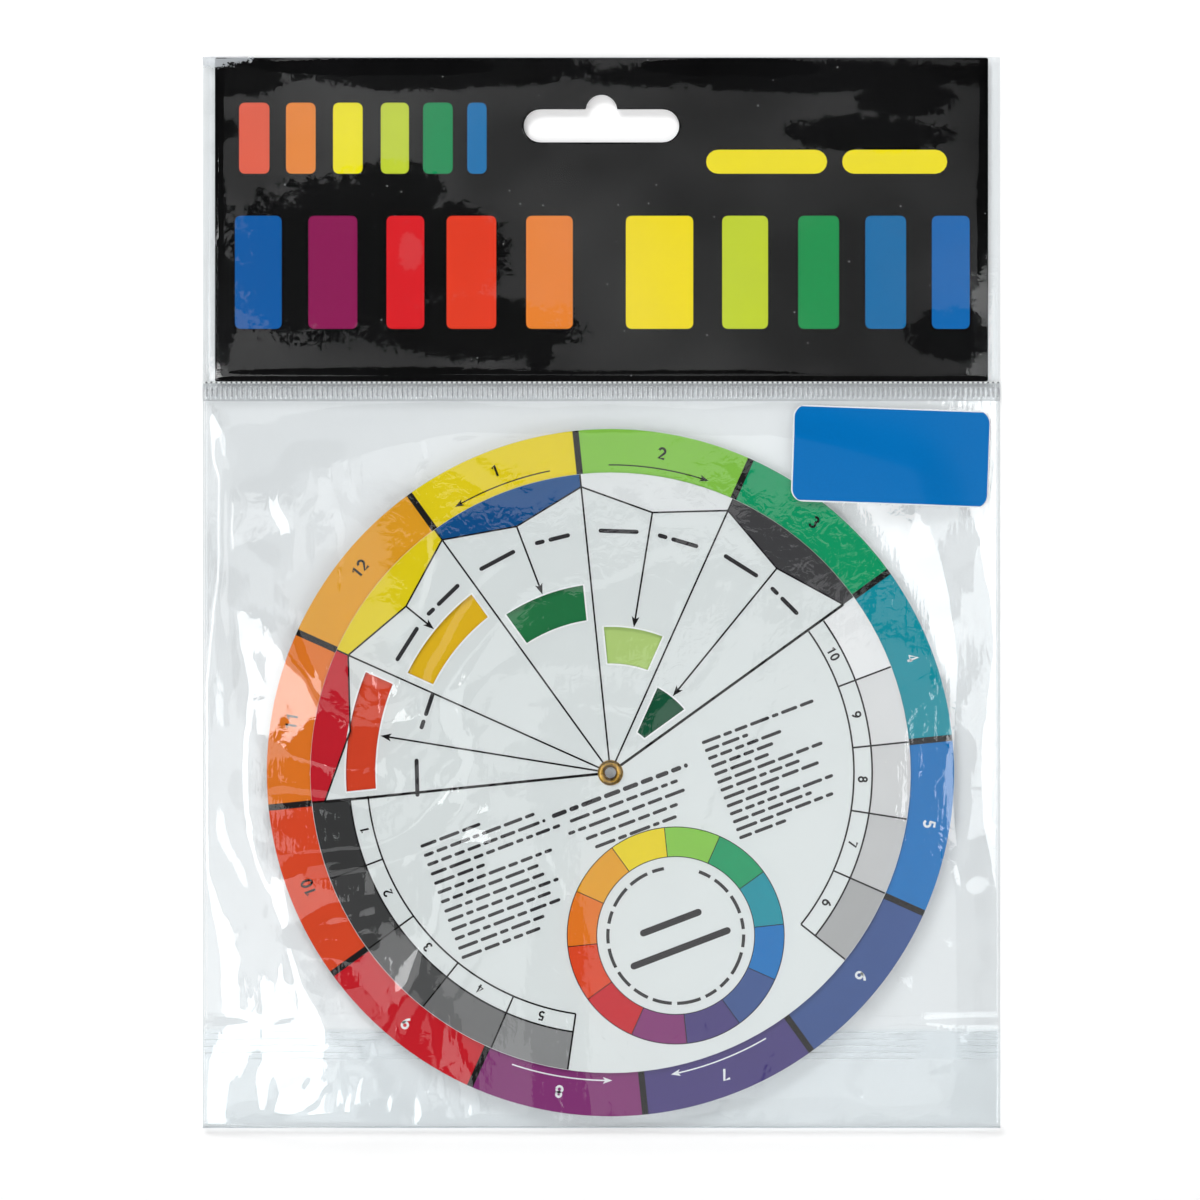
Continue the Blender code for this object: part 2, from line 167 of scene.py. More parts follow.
class Desk:
    # the nodes of a material or the world; node() makes any of them from its type, settings and inputs
    def __init__(self, name, shelf=None):
        self.made = (bpy.data.materials if shelf is None else shelf).new(name)
        self.made.use_nodes = True
        self.tree = self.made.node_tree
        self.tree.nodes.clear()
        self.place = None

    def node(self, kind, settings=None, inputs=None, output=0):
        made = self.tree.nodes.new(kind)
        for key, value in (settings or {}).items():
            if key == "stops":
                self.setStops(made.color_ramp, value)
            else:
                setattr(made, key, value)
        for key, value in (inputs or {}).items():
            self.feed(made.inputs[key], value)
        return Value(self, made.outputs[output]) if len(made.outputs) else made

    def feed(self, socket, value):
        if isinstance(value, Value):
            self.tree.links.new(value.socket, socket)
        elif hasattr(value, "__len__"):
            wanted = len(socket.default_value)
            socket.default_value = (*map(float, value), 1.0)[:wanted]
        else:
            socket.default_value = value

    def setStops(self, ramp, stops):
        while len(ramp.elements) < len(stops):
            ramp.elements.new(0.5)
        for element, (position, level) in zip(ramp.elements, stops):
            element.position = position
            element.color = (level, level, level, 1)

    def objectPlace(self):
        if self.place is None:
            self.place = self.node("ShaderNodeTexCoord", output=3)
        return self.place

    def stretched(self, scale, turn=0.0):
        settings = {"vector_type": "POINT"}
        inputs = {"Vector": self.objectPlace(), "Scale": scale, "Rotation": (0, 0, math.radians(turn))}
        return self.node("ShaderNodeMapping", settings, inputs)

    def noise(self, size, detail=3, roughness=0.55, distortion=0.0, place=None):
        inputs = {
            "Vector": place or self.objectPlace(),
            "Scale": 1 / size,
            "Detail": detail,
            "Roughness": roughness,
            "Distortion": distortion,
        }
        return self.node("ShaderNodeTexNoise", None, inputs)

    def ramp(self, value, *stops):
        return self.node("ShaderNodeValToRGB", {"stops": stops}, {"Fac": value})

    def mixColour(self, factor, first, second, blend="MIX"):
        settings = {"data_type": "RGBA", "blend_type": blend}
        return self.node("ShaderNodeMix", settings, {0: factor, 6: first, 7: second}, output=2)

    def bump(self, height, depth, strength=1.0):
        inputs = {"Height": height, "Distance": depth, "Strength": strength}
        return self.node("ShaderNodeBump", None, inputs)

    def principled(self, **inputs):
        named = {key.replace("_", " "): value for key, value in inputs.items()}
        return self.node("ShaderNodeBsdfPrincipled", None, named)

    def satin(self, tint, skin, relief, gloss):
        # the skin of card, ink or paper
        shader = self.principled(Base_Color=tint, Roughness=skin, Normal=relief, Specular_IOR_Level=gloss)
        return self.close(shader)

    def diffuse(self, colour):
        return self.node("ShaderNodeBsdfDiffuse", None, {"Color": colour})

    def mixShader(self, factor, first, second):
        return self.node("ShaderNodeMixShader", None, {0: factor, 1: first, 2: second})

    def sine(self, value):
        return self.node("ShaderNodeMath", {"operation": "SINE"}, {0: value})

    def close(self, shader, kind="ShaderNodeOutputMaterial"):
        self.node(kind, None, {"Surface": shader})
        return self.made


# Colours of what isn't printed
tones = {name: linear(rgb) for name, rgb in {
    "card": (228, 232, 231),
    "board": (3, 3, 3),
    "boardBloom": (12, 12, 13),
    "boardSpeck": (190, 190, 192),
    "brass": (222, 178, 88),
    "tarnish": (160, 116, 48),
    "filmMilkAndPaintedGlare": (235, 240, 245),
    "sealMilkAndDentShade": (158, 161, 166),
    "sticker": (0, 113, 188),
    "stickerRim": (236, 240, 243),
    "stickerBack": (222, 226, 228),
}.items()}


def coatedCard(name, colour, spread=0.02):
    # white coated card: faint cloudiness, fibres in the sheet and a satin skin
    desk = Desk(name)
    clouds = desk.noise(18 * mm, 4)
    fibres = desk.noise(0.35 * mm, 3, 0.6)
    dark, light = colour * (1 - 2 * spread), colour * (1 + spread)
    tint = desk.mixColour(clouds * 0.6 + fibres * 0.4, dark, light)
    skin = 0.3 + 0.16 * desk.noise(4 * mm, 3)
    return desk.satin(tint, skin, desk.bump(fibres, 0.012 * mm, 0.35), 0.12)


def printedInk(name, grain=0.05):
    # ink takes its colour from each face, with the fine mottle of offset print
    desk = Desk(name)
    colour = desk.node("ShaderNodeAttribute", {"attribute_name": "ink"})
    mottle = desk.ramp(desk.noise(0.22 * mm, 2, 0.7), (0.3, 1 - grain), (0.7, 1))
    patches = desk.ramp(desk.noise(7 * mm, 3), (0.3, 1 - grain * 0.6), (0.7, 1))
    inked = desk.mixColour(1.0, desk.mixColour(1.0, colour, mottle, "MULTIPLY"), patches, "MULTIPLY")
    skin = 0.24 + 0.2 * desk.noise(3 * mm, 3)
    return desk.satin(inked, skin, desk.bump(desk.noise(0.3 * mm, 2), 0.008 * mm, 0.3), 0.12)


def blackBoard(name):
    # black printed card: a soft bloom of rubbed ink, pale specks where the print has picked
    desk = Desk(name)
    bloom = desk.ramp(desk.noise(30 * mm, 4, 0.6, 0.6), (0.35, 0.0), (0.75, 1.0))
    ground = desk.mixColour(bloom, tones["board"], tones["boardBloom"])
    scattered = {"Vector": desk.objectPlace(), "Scale": 1 / (2.7 * mm)}
    cells = desk.node("ShaderNodeTexVoronoi", {"feature": "F1"}, scattered)
    speck = (0.045 - cells).above(0.0) * desk.noise(9 * mm, 2).above(0.47)
    tint = desk.mixColour(speck * 0.75, ground, tones["boardSpeck"])
    skin = 0.28 + 0.25 * desk.noise(9 * mm, 4)
    return desk.satin(tint, skin, desk.bump(desk.noise(0.4 * mm, 3), 0.01 * mm, 0.3), 0.05)


def rolledBrass(name):
    desk = Desk(name)
    tarnish = desk.ramp(desk.noise(0.9 * mm, 4, 0.6), (0.35, 0.0), (0.7, 1.0))
    tint = desk.mixColour(tarnish, tones["brass"], tones["tarnish"])
    skin = 0.26 + 0.18 * desk.noise(0.5 * mm, 3)
    scratches = desk.noise(0.12 * mm, 2, 0.6, 0.0, desk.stretched((1, 8, 1), 30))
    relief = desk.bump(scratches, 0.004 * mm, 0.4)
    return desk.close(desk.principled(Base_Color=tint, Metallic=1.0, Roughness=skin, Normal=relief))


def wetPatches(desk):
    # where the film clings to the black card and mirrors less, and painted reflection where it bulges,
    # a pale diffuse glare in place of a mirror image: ragged ovals of given places and reaches
    x, y, z = desk.objectPlace().parts()
    ragged = 2.6 * (desk.noise(2.2 * mm, 6, 0.75) - 0.5) + 1.1 * (desk.noise(15 * mm, 2) - 0.5)
    ragged = ragged + 1.4 * (desk.noise(0.7 * mm, 3, 0.7) - 0.5)

    def gathered(ovals):
        total = 0.0
        for middleX, middleY, reachX, reachY in ovals:
            across = (x - middleX * mm) * (1 / (reachX * mm))
            along = (y - middleY * mm) * (1 / (reachY * mm))
            total = (1 - across * across - along * along + ragged).above(0.0) + total
        return total.sum("MINIMUM", total, 1.0)

    return gathered(headerPatches) * (1 - gathered(headerIslands)), gathered(headerPaintedGlare)


# middle and reach of each, in mm
headerIslands = ((-36.3, 64.5, 2.4, 3.6), (-66, 80, 1.2, 2.0))
# painted reflection: ovals where the film's bulges get a pale diffuse glare
headerPaintedGlare = ((-74.5, 103.2, 9, 3.4),)
headerPatches = (
    (-49, 63, 23, 15), (-29, 65, 12, 9), (-24, 50, 20, 6), (-39, 76, 9, 6), (-74, 88, 5, 2.6),
    (-75, 74, 3.6, 9), (-73, 55, 3.4, 12), (-30, 99, 28, 3.6), (-69, 98, 8, 4), (40, 98, 42, 3.0),
    (-12, 47, 3, 5), (66, 49, 8, 5), (50, 87, 15, 3.5), (58, 94, 9, 4),
)


sealShape = {
    "pitch": 0.95 * mm,
    "height": 0.09 * mm,
    "film": 0.02 * mm,
    "lift": 0.03 * mm,
    "pastLow": 0.2 * mm,
    "pastTop": 0.35 * mm,
    "rows": 9,
    "stepsPerTooth": 6,
    "fade": 0.2,
    "dash": 0.55 * mm,
    "dashHeight": 0.36 * mm,
    "dashDrop": 0.22 * mm,
    "dashLift": 0.32 * mm,
    "dashPlace": 0.3,
    "gapPlace": 0.8,
    "gapHeight": 0.8,
    "gapRoom": 0.04 * mm,
    "dentPaintedShade": 0.42,
    "dentWander": 0.25,
}


def crimpDents(desk):
    # 1 in each dent that the crimp leaves across the sealed band, 0 between them: where the grey painted
    # shade goes
    x, y, z = desk.objectPlace().parts()
    wander = sealShape["dentWander"] * (desk.noise(5 * mm, 2) - 0.5)
    wave = desk.sine(x * (2 * math.pi / sealShape["pitch"]) + wander)
    share = (y - sealLowY) * (1 / (sealTopY - sealLowY))
    band = desk.ramp(share, (0.12, 0.0), (0.3, 1.0), (0.72, 1.0), (0.86, 0.0))
    depth = 0.7 + 0.6 * (desk.noise(9 * mm, 2) - 0.5)
    return desk.ramp(wave, (0.0, 0.0), (0.6, 1.0)) * band * depth


def clearFilm(name, clearness=0.995, milkAndPaintedLightShare=0.0, crease=0.03, shine=1.0, clings=False, sealed=False):
    # film: what lies behind shows through a faint grey, under the mirror that each face makes
    desk = Desk(name)
    fine = desk.noise(2.6 * mm, 2, 0.5, 1.2)
    pull = desk.noise(1.6 * mm, 2, 0.5, 0.4, desk.stretched((1, 0.14, 1), 4))
    relief = desk.bump(fine * 0.5 + pull * 0.5, crease * mm)
    seen = np.array((0.99, 0.997, 1.0)) * clearness
    through = desk.node("ShaderNodeBsdfTransparent", None, {"Color": seen})
    gloss = {"Color": (1, 1, 1), "Roughness": 0.022, "Normal": relief}
    mirror = desk.node("ShaderNodeBsdfGlossy", None, gloss)
    # a film face mirrors alike from both its sides
    backFace = desk.node("ShaderNodeNewGeometry", output=6)
    bending = 1.5 - backFace * (1.5 - 1 / 1.5)
    edge = desk.node("ShaderNodeFresnel", None, {"IOR": bending, "Normal": relief})
    if clings:
        clinging, paintedGlare = wetPatches(desk)
        across = desk.objectPlace().parts()[0] * (1 / (150 * mm)) + 0.5
        drift = desk.ramp(desk.noise(38 * mm, 2), (0.38, 0.5), (0.62, 1.0))
        drift = drift * desk.ramp(across, (0.0, 1.0), (1.0, 0.46))
        edge = edge * (drift - drift * 0.93 * clinging)
        # painted reflection: a pale diffuse layer over the bulges stands in for the studio mirrored there
        milkAndPaintedLightShare = paintedGlare * 0.33
    sheen = desk.mixShader(edge * shine, through, mirror)
    # painted shade: a grey diffuse in each crimp dent, on top of the sealed band's own milkiness
    if sealed:
        milkAndPaintedLightShare = milkAndPaintedLightShare + sealShape["dentPaintedShade"] * crimpDents(desk)
    if clings or sealed or milkAndPaintedLightShare:
        # the milk is the film's own haze and the crease's, and also carries the painted glare and painted
        # shade above
        milkAndPaintedLight = desk.diffuse(tones["sealMilkAndDentShade" if sealed else "filmMilkAndPaintedGlare"])
        sheen = desk.mixShader(milkAndPaintedLightShare, sheen, milkAndPaintedLight)
    return desk.close(sheen)


def peelTape(name):
    # clear tape with the thin pale lines of its dried adhesive
    desk = Desk(name)
    x, y, z = desk.objectPlace().parts()
    wander = desk.noise(30 * mm, 2) * 2.2 * mm + desk.noise(3 * mm, 2) * 0.3 * mm
    wave = desk.sine((y + wander) * (2 * math.pi / (1.25 * mm)))
    broken = desk.ramp(desk.noise(14 * mm, 3), (0.45, 0.0), (0.6, 1.0))
    lines = desk.ramp(wave, (0.9, 0.0), (0.99, 1.0)) * broken
    through = desk.node("ShaderNodeBsdfTransparent", None, {"Color": (0.995, 0.998, 1)})
    pale = desk.diffuse((0.95, 0.96, 0.97))
    return desk.close(desk.mixShader(lines * 0.55 + 0.03, through, pale))


def stickerPaper(name):
    desk = Desk(name)
    colour = desk.node("ShaderNodeAttribute", {"attribute_name": "ink"})
    mottle = desk.ramp(desk.noise(0.5 * mm, 3, 0.7), (0.3, 0.95), (0.7, 1))
    upwards = desk.node("ShaderNodeNewGeometry", output=1).parts()[2].above(-0.5)
    colour = desk.mixColour(upwards, tones["stickerBack"], colour)
    tint = desk.mixColour(1.0, colour, mottle, "MULTIPLY")
    skin = 0.3 + 0.2 * desk.noise(5 * mm, 3)
    return desk.satin(tint, skin, desk.bump(desk.noise(0.5 * mm, 3), 0.012 * mm, 0.4), 0.15)


finishes = {
    "wheelCard": coatedCard("wheelCard", tones["card"]),
    "ink": printedInk("printedInk"),
    "blackBoard": blackBoard("blackBoard"),
    "brass": rolledBrass("rolledBrass"),
    "film": clearFilm("clearFilm"),
    "cardFilm": clearFilm("clingingFilm", 0.995, 0.0, 0.012, 1.0, True),
    "backFilm": clearFilm("clearBackFilm", 0.93, 0.0, 0.02, 0.9),
    "flapFilm": clearFilm("clearFlapFilm", 0.999, 0.0, 0.02, 0.15),
    "foldedFilm": clearFilm("creasedFilm", 0.97, 0.6, 0.01, 1.0),
    "sealedFilm": clearFilm("sealedFilm", 0.985, 0.14, 0.006, sealed=True),
    "tape": peelTape("peelTape"),
    "sticker": stickerPaper("stickerPaper"),
}
print("stage: materials", len(finishes))


# Mesh helpers

def gridFaces(rows, columns, closed=False):
    # quads between neighbouring rows and columns; the last column meets the first when closed
    row = np.arange(rows - 1)[:, None]
    column = np.arange(columns if closed else columns - 1)[None, :]
    after = (column + 1) % columns
    low, high = row * columns, (row + 1) * columns
    corners = (low + column, low + after, high + after, high + column)
    return np.stack([np.broadcast_to(c, (rows - 1, column.size)).ravel() for c in corners], 1)


def clockPoint(radius, clock):
    angle = np.radians(clock)
    return np.stack([radius * np.sin(angle), radius * np.cos(angle)], -1)


def turnedBy(points, turn):
    # points turned anticlockwise about 0, 0
    c, s = math.cos(math.radians(turn)), math.sin(math.radians(turn))
    return points @ np.array([[c, s], [-s, c]])


def putInScene(name, data):
    made = bpy.data.objects.new(name, data)
    bpy.context.scene.collection.objects.link(made)
    return made


def makePiece(name, points, faces, finish, smooth=True, thick=0.0, offset=1.0, ink=None):
    mesh = bpy.data.meshes.new(name)
    mesh.from_pydata(np.asarray(points).tolist(), [], [list(map(int, f)) for f in faces])
    if smooth:
        mesh.shade_smooth()
    if ink is not None:
        colours = mesh.color_attributes.new("ink", "FLOAT_COLOR", "CORNER")
        counts = [len(f) for f in faces]
        flat = np.repeat(np.c_[np.array(ink), np.ones(len(ink))], counts, axis=0)
        colours.data.foreach_set("color", flat.astype(np.float32).ravel())
    mesh.materials.append(finishes[finish])
    made = putInScene(name, mesh)
    if thick:
        thicken(made, thick, offset)
    return made


def thicken(piece, thick, offset=1.0):
    # a sheet's thickness: offset 1 adds it in front of the faces, -1 behind them
    shell = piece.modifiers.new("thickness", "SOLIDIFY")
    shell.thickness = thick
    shell.offset = offset
    shell.use_even_offset = False


def arcStroke(x, y, radius, start, end, tall=1.0):
    angle = np.radians(np.linspace(start, end, 15))
    return np.stack([x + radius * np.cos(angle), y + radius * tall * np.sin(angle)], 1).tolist()


# each digit in a box 0.6 wide and 1 high
sixLoop = arcStroke(0.3, 0.3, 0.25, 0, 360)
sixTail = arcStroke(0.55, 0.3, 0.5, 180, 112, 1.35)
digitStrokes = {
    "0": [arcStroke(0.3, 0.5, 0.24, 0, 360, 1.85)],
    "1": [[(0.1, 0.72), (0.34, 0.95), (0.34, 0.02)]],
    "2": [arcStroke(0.3, 0.69, 0.25, 165, -38) + [(0.08, 0.1), (0.56, 0.1)]],
    "3": [arcStroke(0.28, 0.72, 0.21, 150, -80), arcStroke(0.28, 0.29, 0.24, 80, -150)],
    "4": [[(0.42, 0.02), (0.42, 0.95), (0.06, 0.3), (0.58, 0.3)]],
    "5": [[(0.52, 0.92), (0.14, 0.92), (0.11, 0.52)] + arcStroke(0.29, 0.32, 0.25, 125, -145)],
    "6": [sixLoop, sixTail],
    "7": [[(0.05, 0.91), (0.55, 0.91), (0.22, 0.02)]],
    "8": [arcStroke(0.3, 0.72, 0.2, 0, 360), arcStroke(0.3, 0.29, 0.24, 0, 360)],
    "9": [[(0.6 - x, 1 - y) for x, y in sixLoop], [(0.6 - x, 1 - y) for x, y in sixTail]],
}


class PrintSheet:
    # gathers flat patches of ink, each with its colour, into one thin printed piece
    def __init__(self, centre=(0, 0), facing=1):
        self.centre = np.array(centre, float)
        self.facing = facing
        self.points = []
        self.faces = []
        self.inks = []
        self.count = 0

    def patch(self, points, faces, ink):
        points = np.asarray(points, float)
        self.points.append(points)
        for face in faces:
            self.faces.append([int(i) + self.count for i in face])
            self.inks.append(ink)
        self.count += len(points)

    def sector(self, inner, outer, start, end, ink, step=2.0):
        # part of a ring between two radii and two clock angles
        columns = max(2, int(abs(end - start) / step) + 2)
        clock = np.linspace(start, end, columns)
        points = np.concatenate([clockPoint(outer, clock), clockPoint(inner, clock)])
        self.patch(points, gridFaces(2, columns), ink)

    def line(self, points, width, ink, closed=False):
        # a ribbon along a path: each point goes half the width to both sides, square to the path
        path = np.asarray(points, float)
        before = np.roll(path, 1, 0) if closed else np.concatenate([path[:1], path[:-1]])
        after = np.roll(path, -1, 0) if closed else np.concatenate([path[1:], path[-1:]])
        run = after - before
        side = np.stack([-run[:, 1], run[:, 0]], 1) / np.linalg.norm(run, axis=1)[:, None]
        half = side * width / 2
        faces = gridFaces(2, len(path), closed)[:, ::-1]
        self.patch(np.concatenate([path + half, path - half]), faces, ink)

    def spoke(self, inner, outer, clock, width, middle=0.0):
        # a black line from one radius to another
        self.line(clockPoint(np.array([inner, outer]), clock) + middle, width, blackInk)

    def arc(self, radius, start, end, points, width):
        # a black line along a circle
        self.line(clockPoint(radius, np.linspace(start, end, points)), width, blackInk)

    def circle(self, radius, points, width, middle=0.0):
        clock = np.linspace(0, 360, points, endpoint=False)
        self.line(clockPoint(radius, clock) + middle, width, blackInk, True)

    def arrow(self, start, tip, width, head, ink):
        start, tip = np.array(start, float), np.array(tip, float)
        way = (tip - start) / np.linalg.norm(tip - start)
        side = np.array([-way[1], way[0]])
        neck = tip - way * head * 0.75
        self.line([start, neck], width, ink)
        barb = tip - way * head
        points = [tip, barb + side * head * 0.36, neck, barb - side * head * 0.36]
        self.patch(points, [(0, 1, 2), (0, 2, 3)], ink)

    def bar(self, centre, length, height, turn, ink):
        # a bar with rounded ends, as one flat face
        outline = roundedOutline(length, height, height / 2, 5)
        turned = turnedBy(outline, turn) + np.asarray(centre)
        self.patch(turned, [range(len(turned))], ink)

    def figure(self, number, height, place, turn, ink):
        # a plain number drawn with strokes, its middle at the place
        digits, pitch = str(number), 0.74
        for order, digit in enumerate(digits):
            along = (order - (len(digits) - 1) / 2) * pitch
            for stroke in digitStrokes[digit]:
                flat = (np.array(stroke, float) - (0.3 - along, 0.5)) * (self.facing * height, height)
                self.line(turnedBy(flat, turn) + np.asarray(place), 0.2 * height, ink)

    def finish(self, name, level, body, slot, lift=0.016 * mm, thick=0.012 * mm):
        # the ink lies a little off its card, on the side that it faces: 1 is up, -1 is down
        flat = np.concatenate(self.points) + self.centre
        points = np.c_[flat, np.full(len(flat), level + self.facing * lift)]
        faces = [face[:: self.facing] for face in self.faces]
        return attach(makePiece(name, points, faces, "ink", False, thick, -1.0, self.inks), body)


def roundedOutline(width, height, corner, steps):
    # anticlockwise, a quarter circle at each corner
    quarter = np.linspace(0, math.pi / 2, steps)
    parts = []
    for turn, (sideX, sideY) in enumerate(((1, 1), (-1, 1), (-1, -1), (1, -1))):
        angle = quarter + turn * math.pi / 2
        middle = np.array([sideX * (width / 2 - corner), sideY * (height / 2 - corner)])
        parts.append(middle + corner * np.stack([np.cos(angle), np.sin(angle)], 1))
    return np.concatenate(parts)


# The inks: hues clockwise from the segment left of the top, and what each window adds

hues = {
    "yellow": (240, 216, 16),
    "yellowGreen": (140, 203, 74),
    "green": (0, 160, 104),
    "blueGreen": (0, 150, 166),
    "blue": (0, 119, 191),
    "blueViolet": (62, 89, 147),
    "violet": (78, 66, 128),
    "redViolet": (136, 52, 118),
    "red": (206, 22, 36),
    "redOrange": (228, 74, 34),
    "orange": (236, 124, 30),
    "yellowOrange": (236, 166, 30),
}
frontAdded = {
    "red": ((205, 30, 40), 0.45),
    "yellow": ((233, 212, 22), 0.5),
    "blue": ((0, 80, 150), 0.6),
    "white": ((255, 226, 224), 0.47),
    "black": ((22, 28, 16), 0.4),
}
rearAdded = {
    "tint": ((255, 255, 255), 0.55),
    "tone": ((128, 128, 128), 0.5),
    "shade": ((30, 30, 30), 0.45),
}
hueCount = len(hues)
sector = 360 / hueCount
blackInk = linear((24, 21, 22))
whiteInk = linear((240, 243, 243))
# painted shadow of the header card's edge over the seal
paintedShadowInk = linear((96, 98, 102))


def ringLimits(shares):
    # each printed ring is centred on its window and meets the next
    between = [dialRadius * (a[0] + b[1]) / 2 for a, b in zip(shares, shares[1:])]
    inner = max(dialRadius * shares[-1][0] - sizes["windowSideRoom"], 3.2 * mm)
    return [dialRadius, *between, inner]


basePrint = {
    "separator": 1.2 * mm,
    "edgeWhite": 0.04 * mm,
    "underDial": 0.4 * mm,
    "numberHeight": 2.3 * mm,
    "numberRadius": 61.2 * mm,
    "arrowRadius": 58.3 * mm,
    "arrowLine": 0.25 * mm,
    "arrowHead": 1.8 * mm,
    "darkHues": ("blueGreen", "blue", "blueViolet", "violet", "redViolet", "red"),
    "arrows": (("yellow", -1), ("yellowGreen", 1), ("violet", 1), ("redViolet", -1)),
}
inkLift = 0.016 * mm


def printBase(name, level, added, windows, facing):
    # the hue ring and, inside it, one ring of mixed inks for each window
    cells, lines = PrintSheet(wheelCentre, facing), PrintSheet(wheelCentre, facing)
    limits = ringLimits(windows)
    ringInner, ringOuter = dialRadius - basePrint["underDial"], discRadius - basePrint["edgeWhite"]
    limits[0] = ringInner
    for place, (hue, rgb) in enumerate(hues.items()):
        start = turns["hues"] + (place - 1) * sector
        middle, end = start + sector / 2, start + sector
        cells.sector(ringInner, ringOuter, start, end, linear(rgb), 1.5)
        for ring, (addedRgb, share) in enumerate(added.values()):
            cells.sector(limits[ring + 1], limits[ring], start, end, mixedInk(rgb, addedRgb, share), 3)
        lines.spoke(ringInner, ringOuter, end, basePrint["separator"])
        ink = whiteInk if hue in basePrint["darkHues"] else blackInk
        spot = clockPoint(basePrint["numberRadius"], middle)
        lines.figure(place + 1, basePrint["numberHeight"], spot, -middle, ink)
        if facing > 0 and hue in dict(basePrint["arrows"]):
            # an arc from the hue's middle towards the warm or the cool side
            way = dict(basePrint["arrows"])[hue]
            arc = clockPoint(basePrint["arrowRadius"], middle + way * np.linspace(-9.5, 9.5, 16))
            lines.line(arc[:-1], basePrint["arrowLine"], ink)
            lines.arrow(arc[-2], arc[-1], basePrint["arrowLine"], basePrint["arrowHead"], ink)
    cells.finish(name, level, "wheel", "printed_card")
    lines.finish(name + "Lines", level, "wheel", "printed_card", 2 * inkLift)


printBase("hueAndMixPrint", discHigh[2], frontAdded, frontWindows, 1)
printBase("rearHueAndMixPrint", discLow[2], rearAdded, rearWindows, -1)
print("stage: base disc print")


# The front dial's print

dialPrint = {
    "lineRadius": 54.4 * mm,
    "notchRadius": 49.9 * mm,
    "outline": 0.33 * mm,
    "thinLine": 0.33 * mm,
    "thickLine": 0.5 * mm,
    "hub": 2.2 * mm,
    "arrowHead": 2.1 * mm,
    "cutEdgeHighlightWidth": 0.3 * mm,
    "scaleOuter": 56.75 * mm,
    "scaleInner": 49.55 * mm,
    "scaleLabel": 46.1 * mm,
    "zoneInks": ((203, 22, 40), (236, 214, 12), (0, 80, 142), (236, 238, 238), (68, 67, 69)),
    "numberHeight": 1.8 * mm,
    "leftGreys": (56, 65, 84, 117, 146),
    "rightGreys": (244, 228, 216, 202, 178),
    "leftScale": (264.5, 188.2),
    "rightScale": (54.5, 128.5),
}
# painted highlight of the windows' lit cut edges, whiter than the card
cutEdgeHighlightInk = linear((252, 253, 253))


def windowOutline(inner, outer, middle, room):
    # a window across one sector: two arcs, and sides parallel to the sector's lines
    halfOuter, halfInner = (sector / 2 - math.degrees(math.asin(room / r)) for r in (outer, inner))
    far = clockPoint(outer, np.linspace(middle - halfOuter, middle + halfOuter, 17))
    near = clockPoint(inner, np.linspace(middle + halfInner, middle - halfInner, 17))
    return np.concatenate([far, near])


def printCutEdge(lines, shares, middle):
    # painted highlight: a whiter line round a window, where the card's cut edge catches the light
    half = dialPrint["cutEdgeHighlightWidth"] / 2
    inner, outer = (dialRadius * share for share in shares)
    outline = windowOutline(inner - half, outer + half, middle, sizes["windowSideRoom"] - half)
    lines.line(outline, 2 * half, cutEdgeHighlightInk, True)


def printDialZones(fills, lines):
    rim = dialRadius - 0.05 * mm
    first = turns["frontDial"] - len(frontWindows) / 2 * sector
    hub, head = dialPrint["hub"], dialPrint["arrowHead"]
    for place, rgb in enumerate(dialPrint["zoneInks"]):
        start = first + place * sector
        middle, end = start + sector / 2, start + sector
        clock = np.linspace(start, end, 17)
        # the zone's inner edge is two straight lines from the sector's sides to its middle
        share = np.abs(np.linspace(-1, 1, 17))
        corner = clockPoint(dialPrint["lineRadius"], np.array([start, end]))
        notch = clockPoint(dialPrint["notchRadius"], middle)
        along = np.where((clock < middle)[:, None], corner[0], corner[1])
        edge = notch + (along - notch) * share[:, None]
        fills.patch(np.concatenate([clockPoint(rim, clock), edge]), gridFaces(2, 17), linear(rgb))
        lines.line([corner[0], notch, corner[1]], dialPrint["outline"], blackInk)
        inner, outer = (dialRadius * share for share in frontWindows[place])
        ends = (notch, clockPoint(outer + 0.25 * mm, middle))
        if place == 0:
            ends = (clockPoint(hub, middle), clockPoint(inner - 0.4 * mm, middle))
        lines.arrow(*ends, dialPrint["thinLine"], head, blackInk)
        printCutEdge(lines, frontWindows[place], middle)
    for place in range(len(frontWindows) + 1):
        outermost = place in (0, len(frontWindows))
        reach = dialPrint["lineRadius"] if outermost else rim
        width = dialPrint["thickLine" if outermost else "thinLine"]
        lines.spoke(hub, reach, first + place * sector, width)


def printScale(fills, lines, span, greys, firstNumber, step):
    start, end = span
    cell = (end - start) / len(greys)
    outer, inner, label = dialPrint["scaleOuter"], dialPrint["scaleInner"], dialPrint["scaleLabel"]
    for place, grey in enumerate(greys):
        a, b = start + place * cell, start + (place + 1) * cell
        fills.sector(inner, outer, min(a, b), max(a, b), linear((grey, grey, grey)), 2)
        lines.spoke(label, outer, b, dialPrint["thinLine"])
        middle = (a + b) / 2
        spot = clockPoint((inner + label) / 2, middle)
        lines.figure(firstNumber + step * place, dialPrint["numberHeight"], spot, -middle, blackInk)
    for radius in (inner, label):
        lines.arc(radius, start, end, 41, dialPrint["thinLine"])


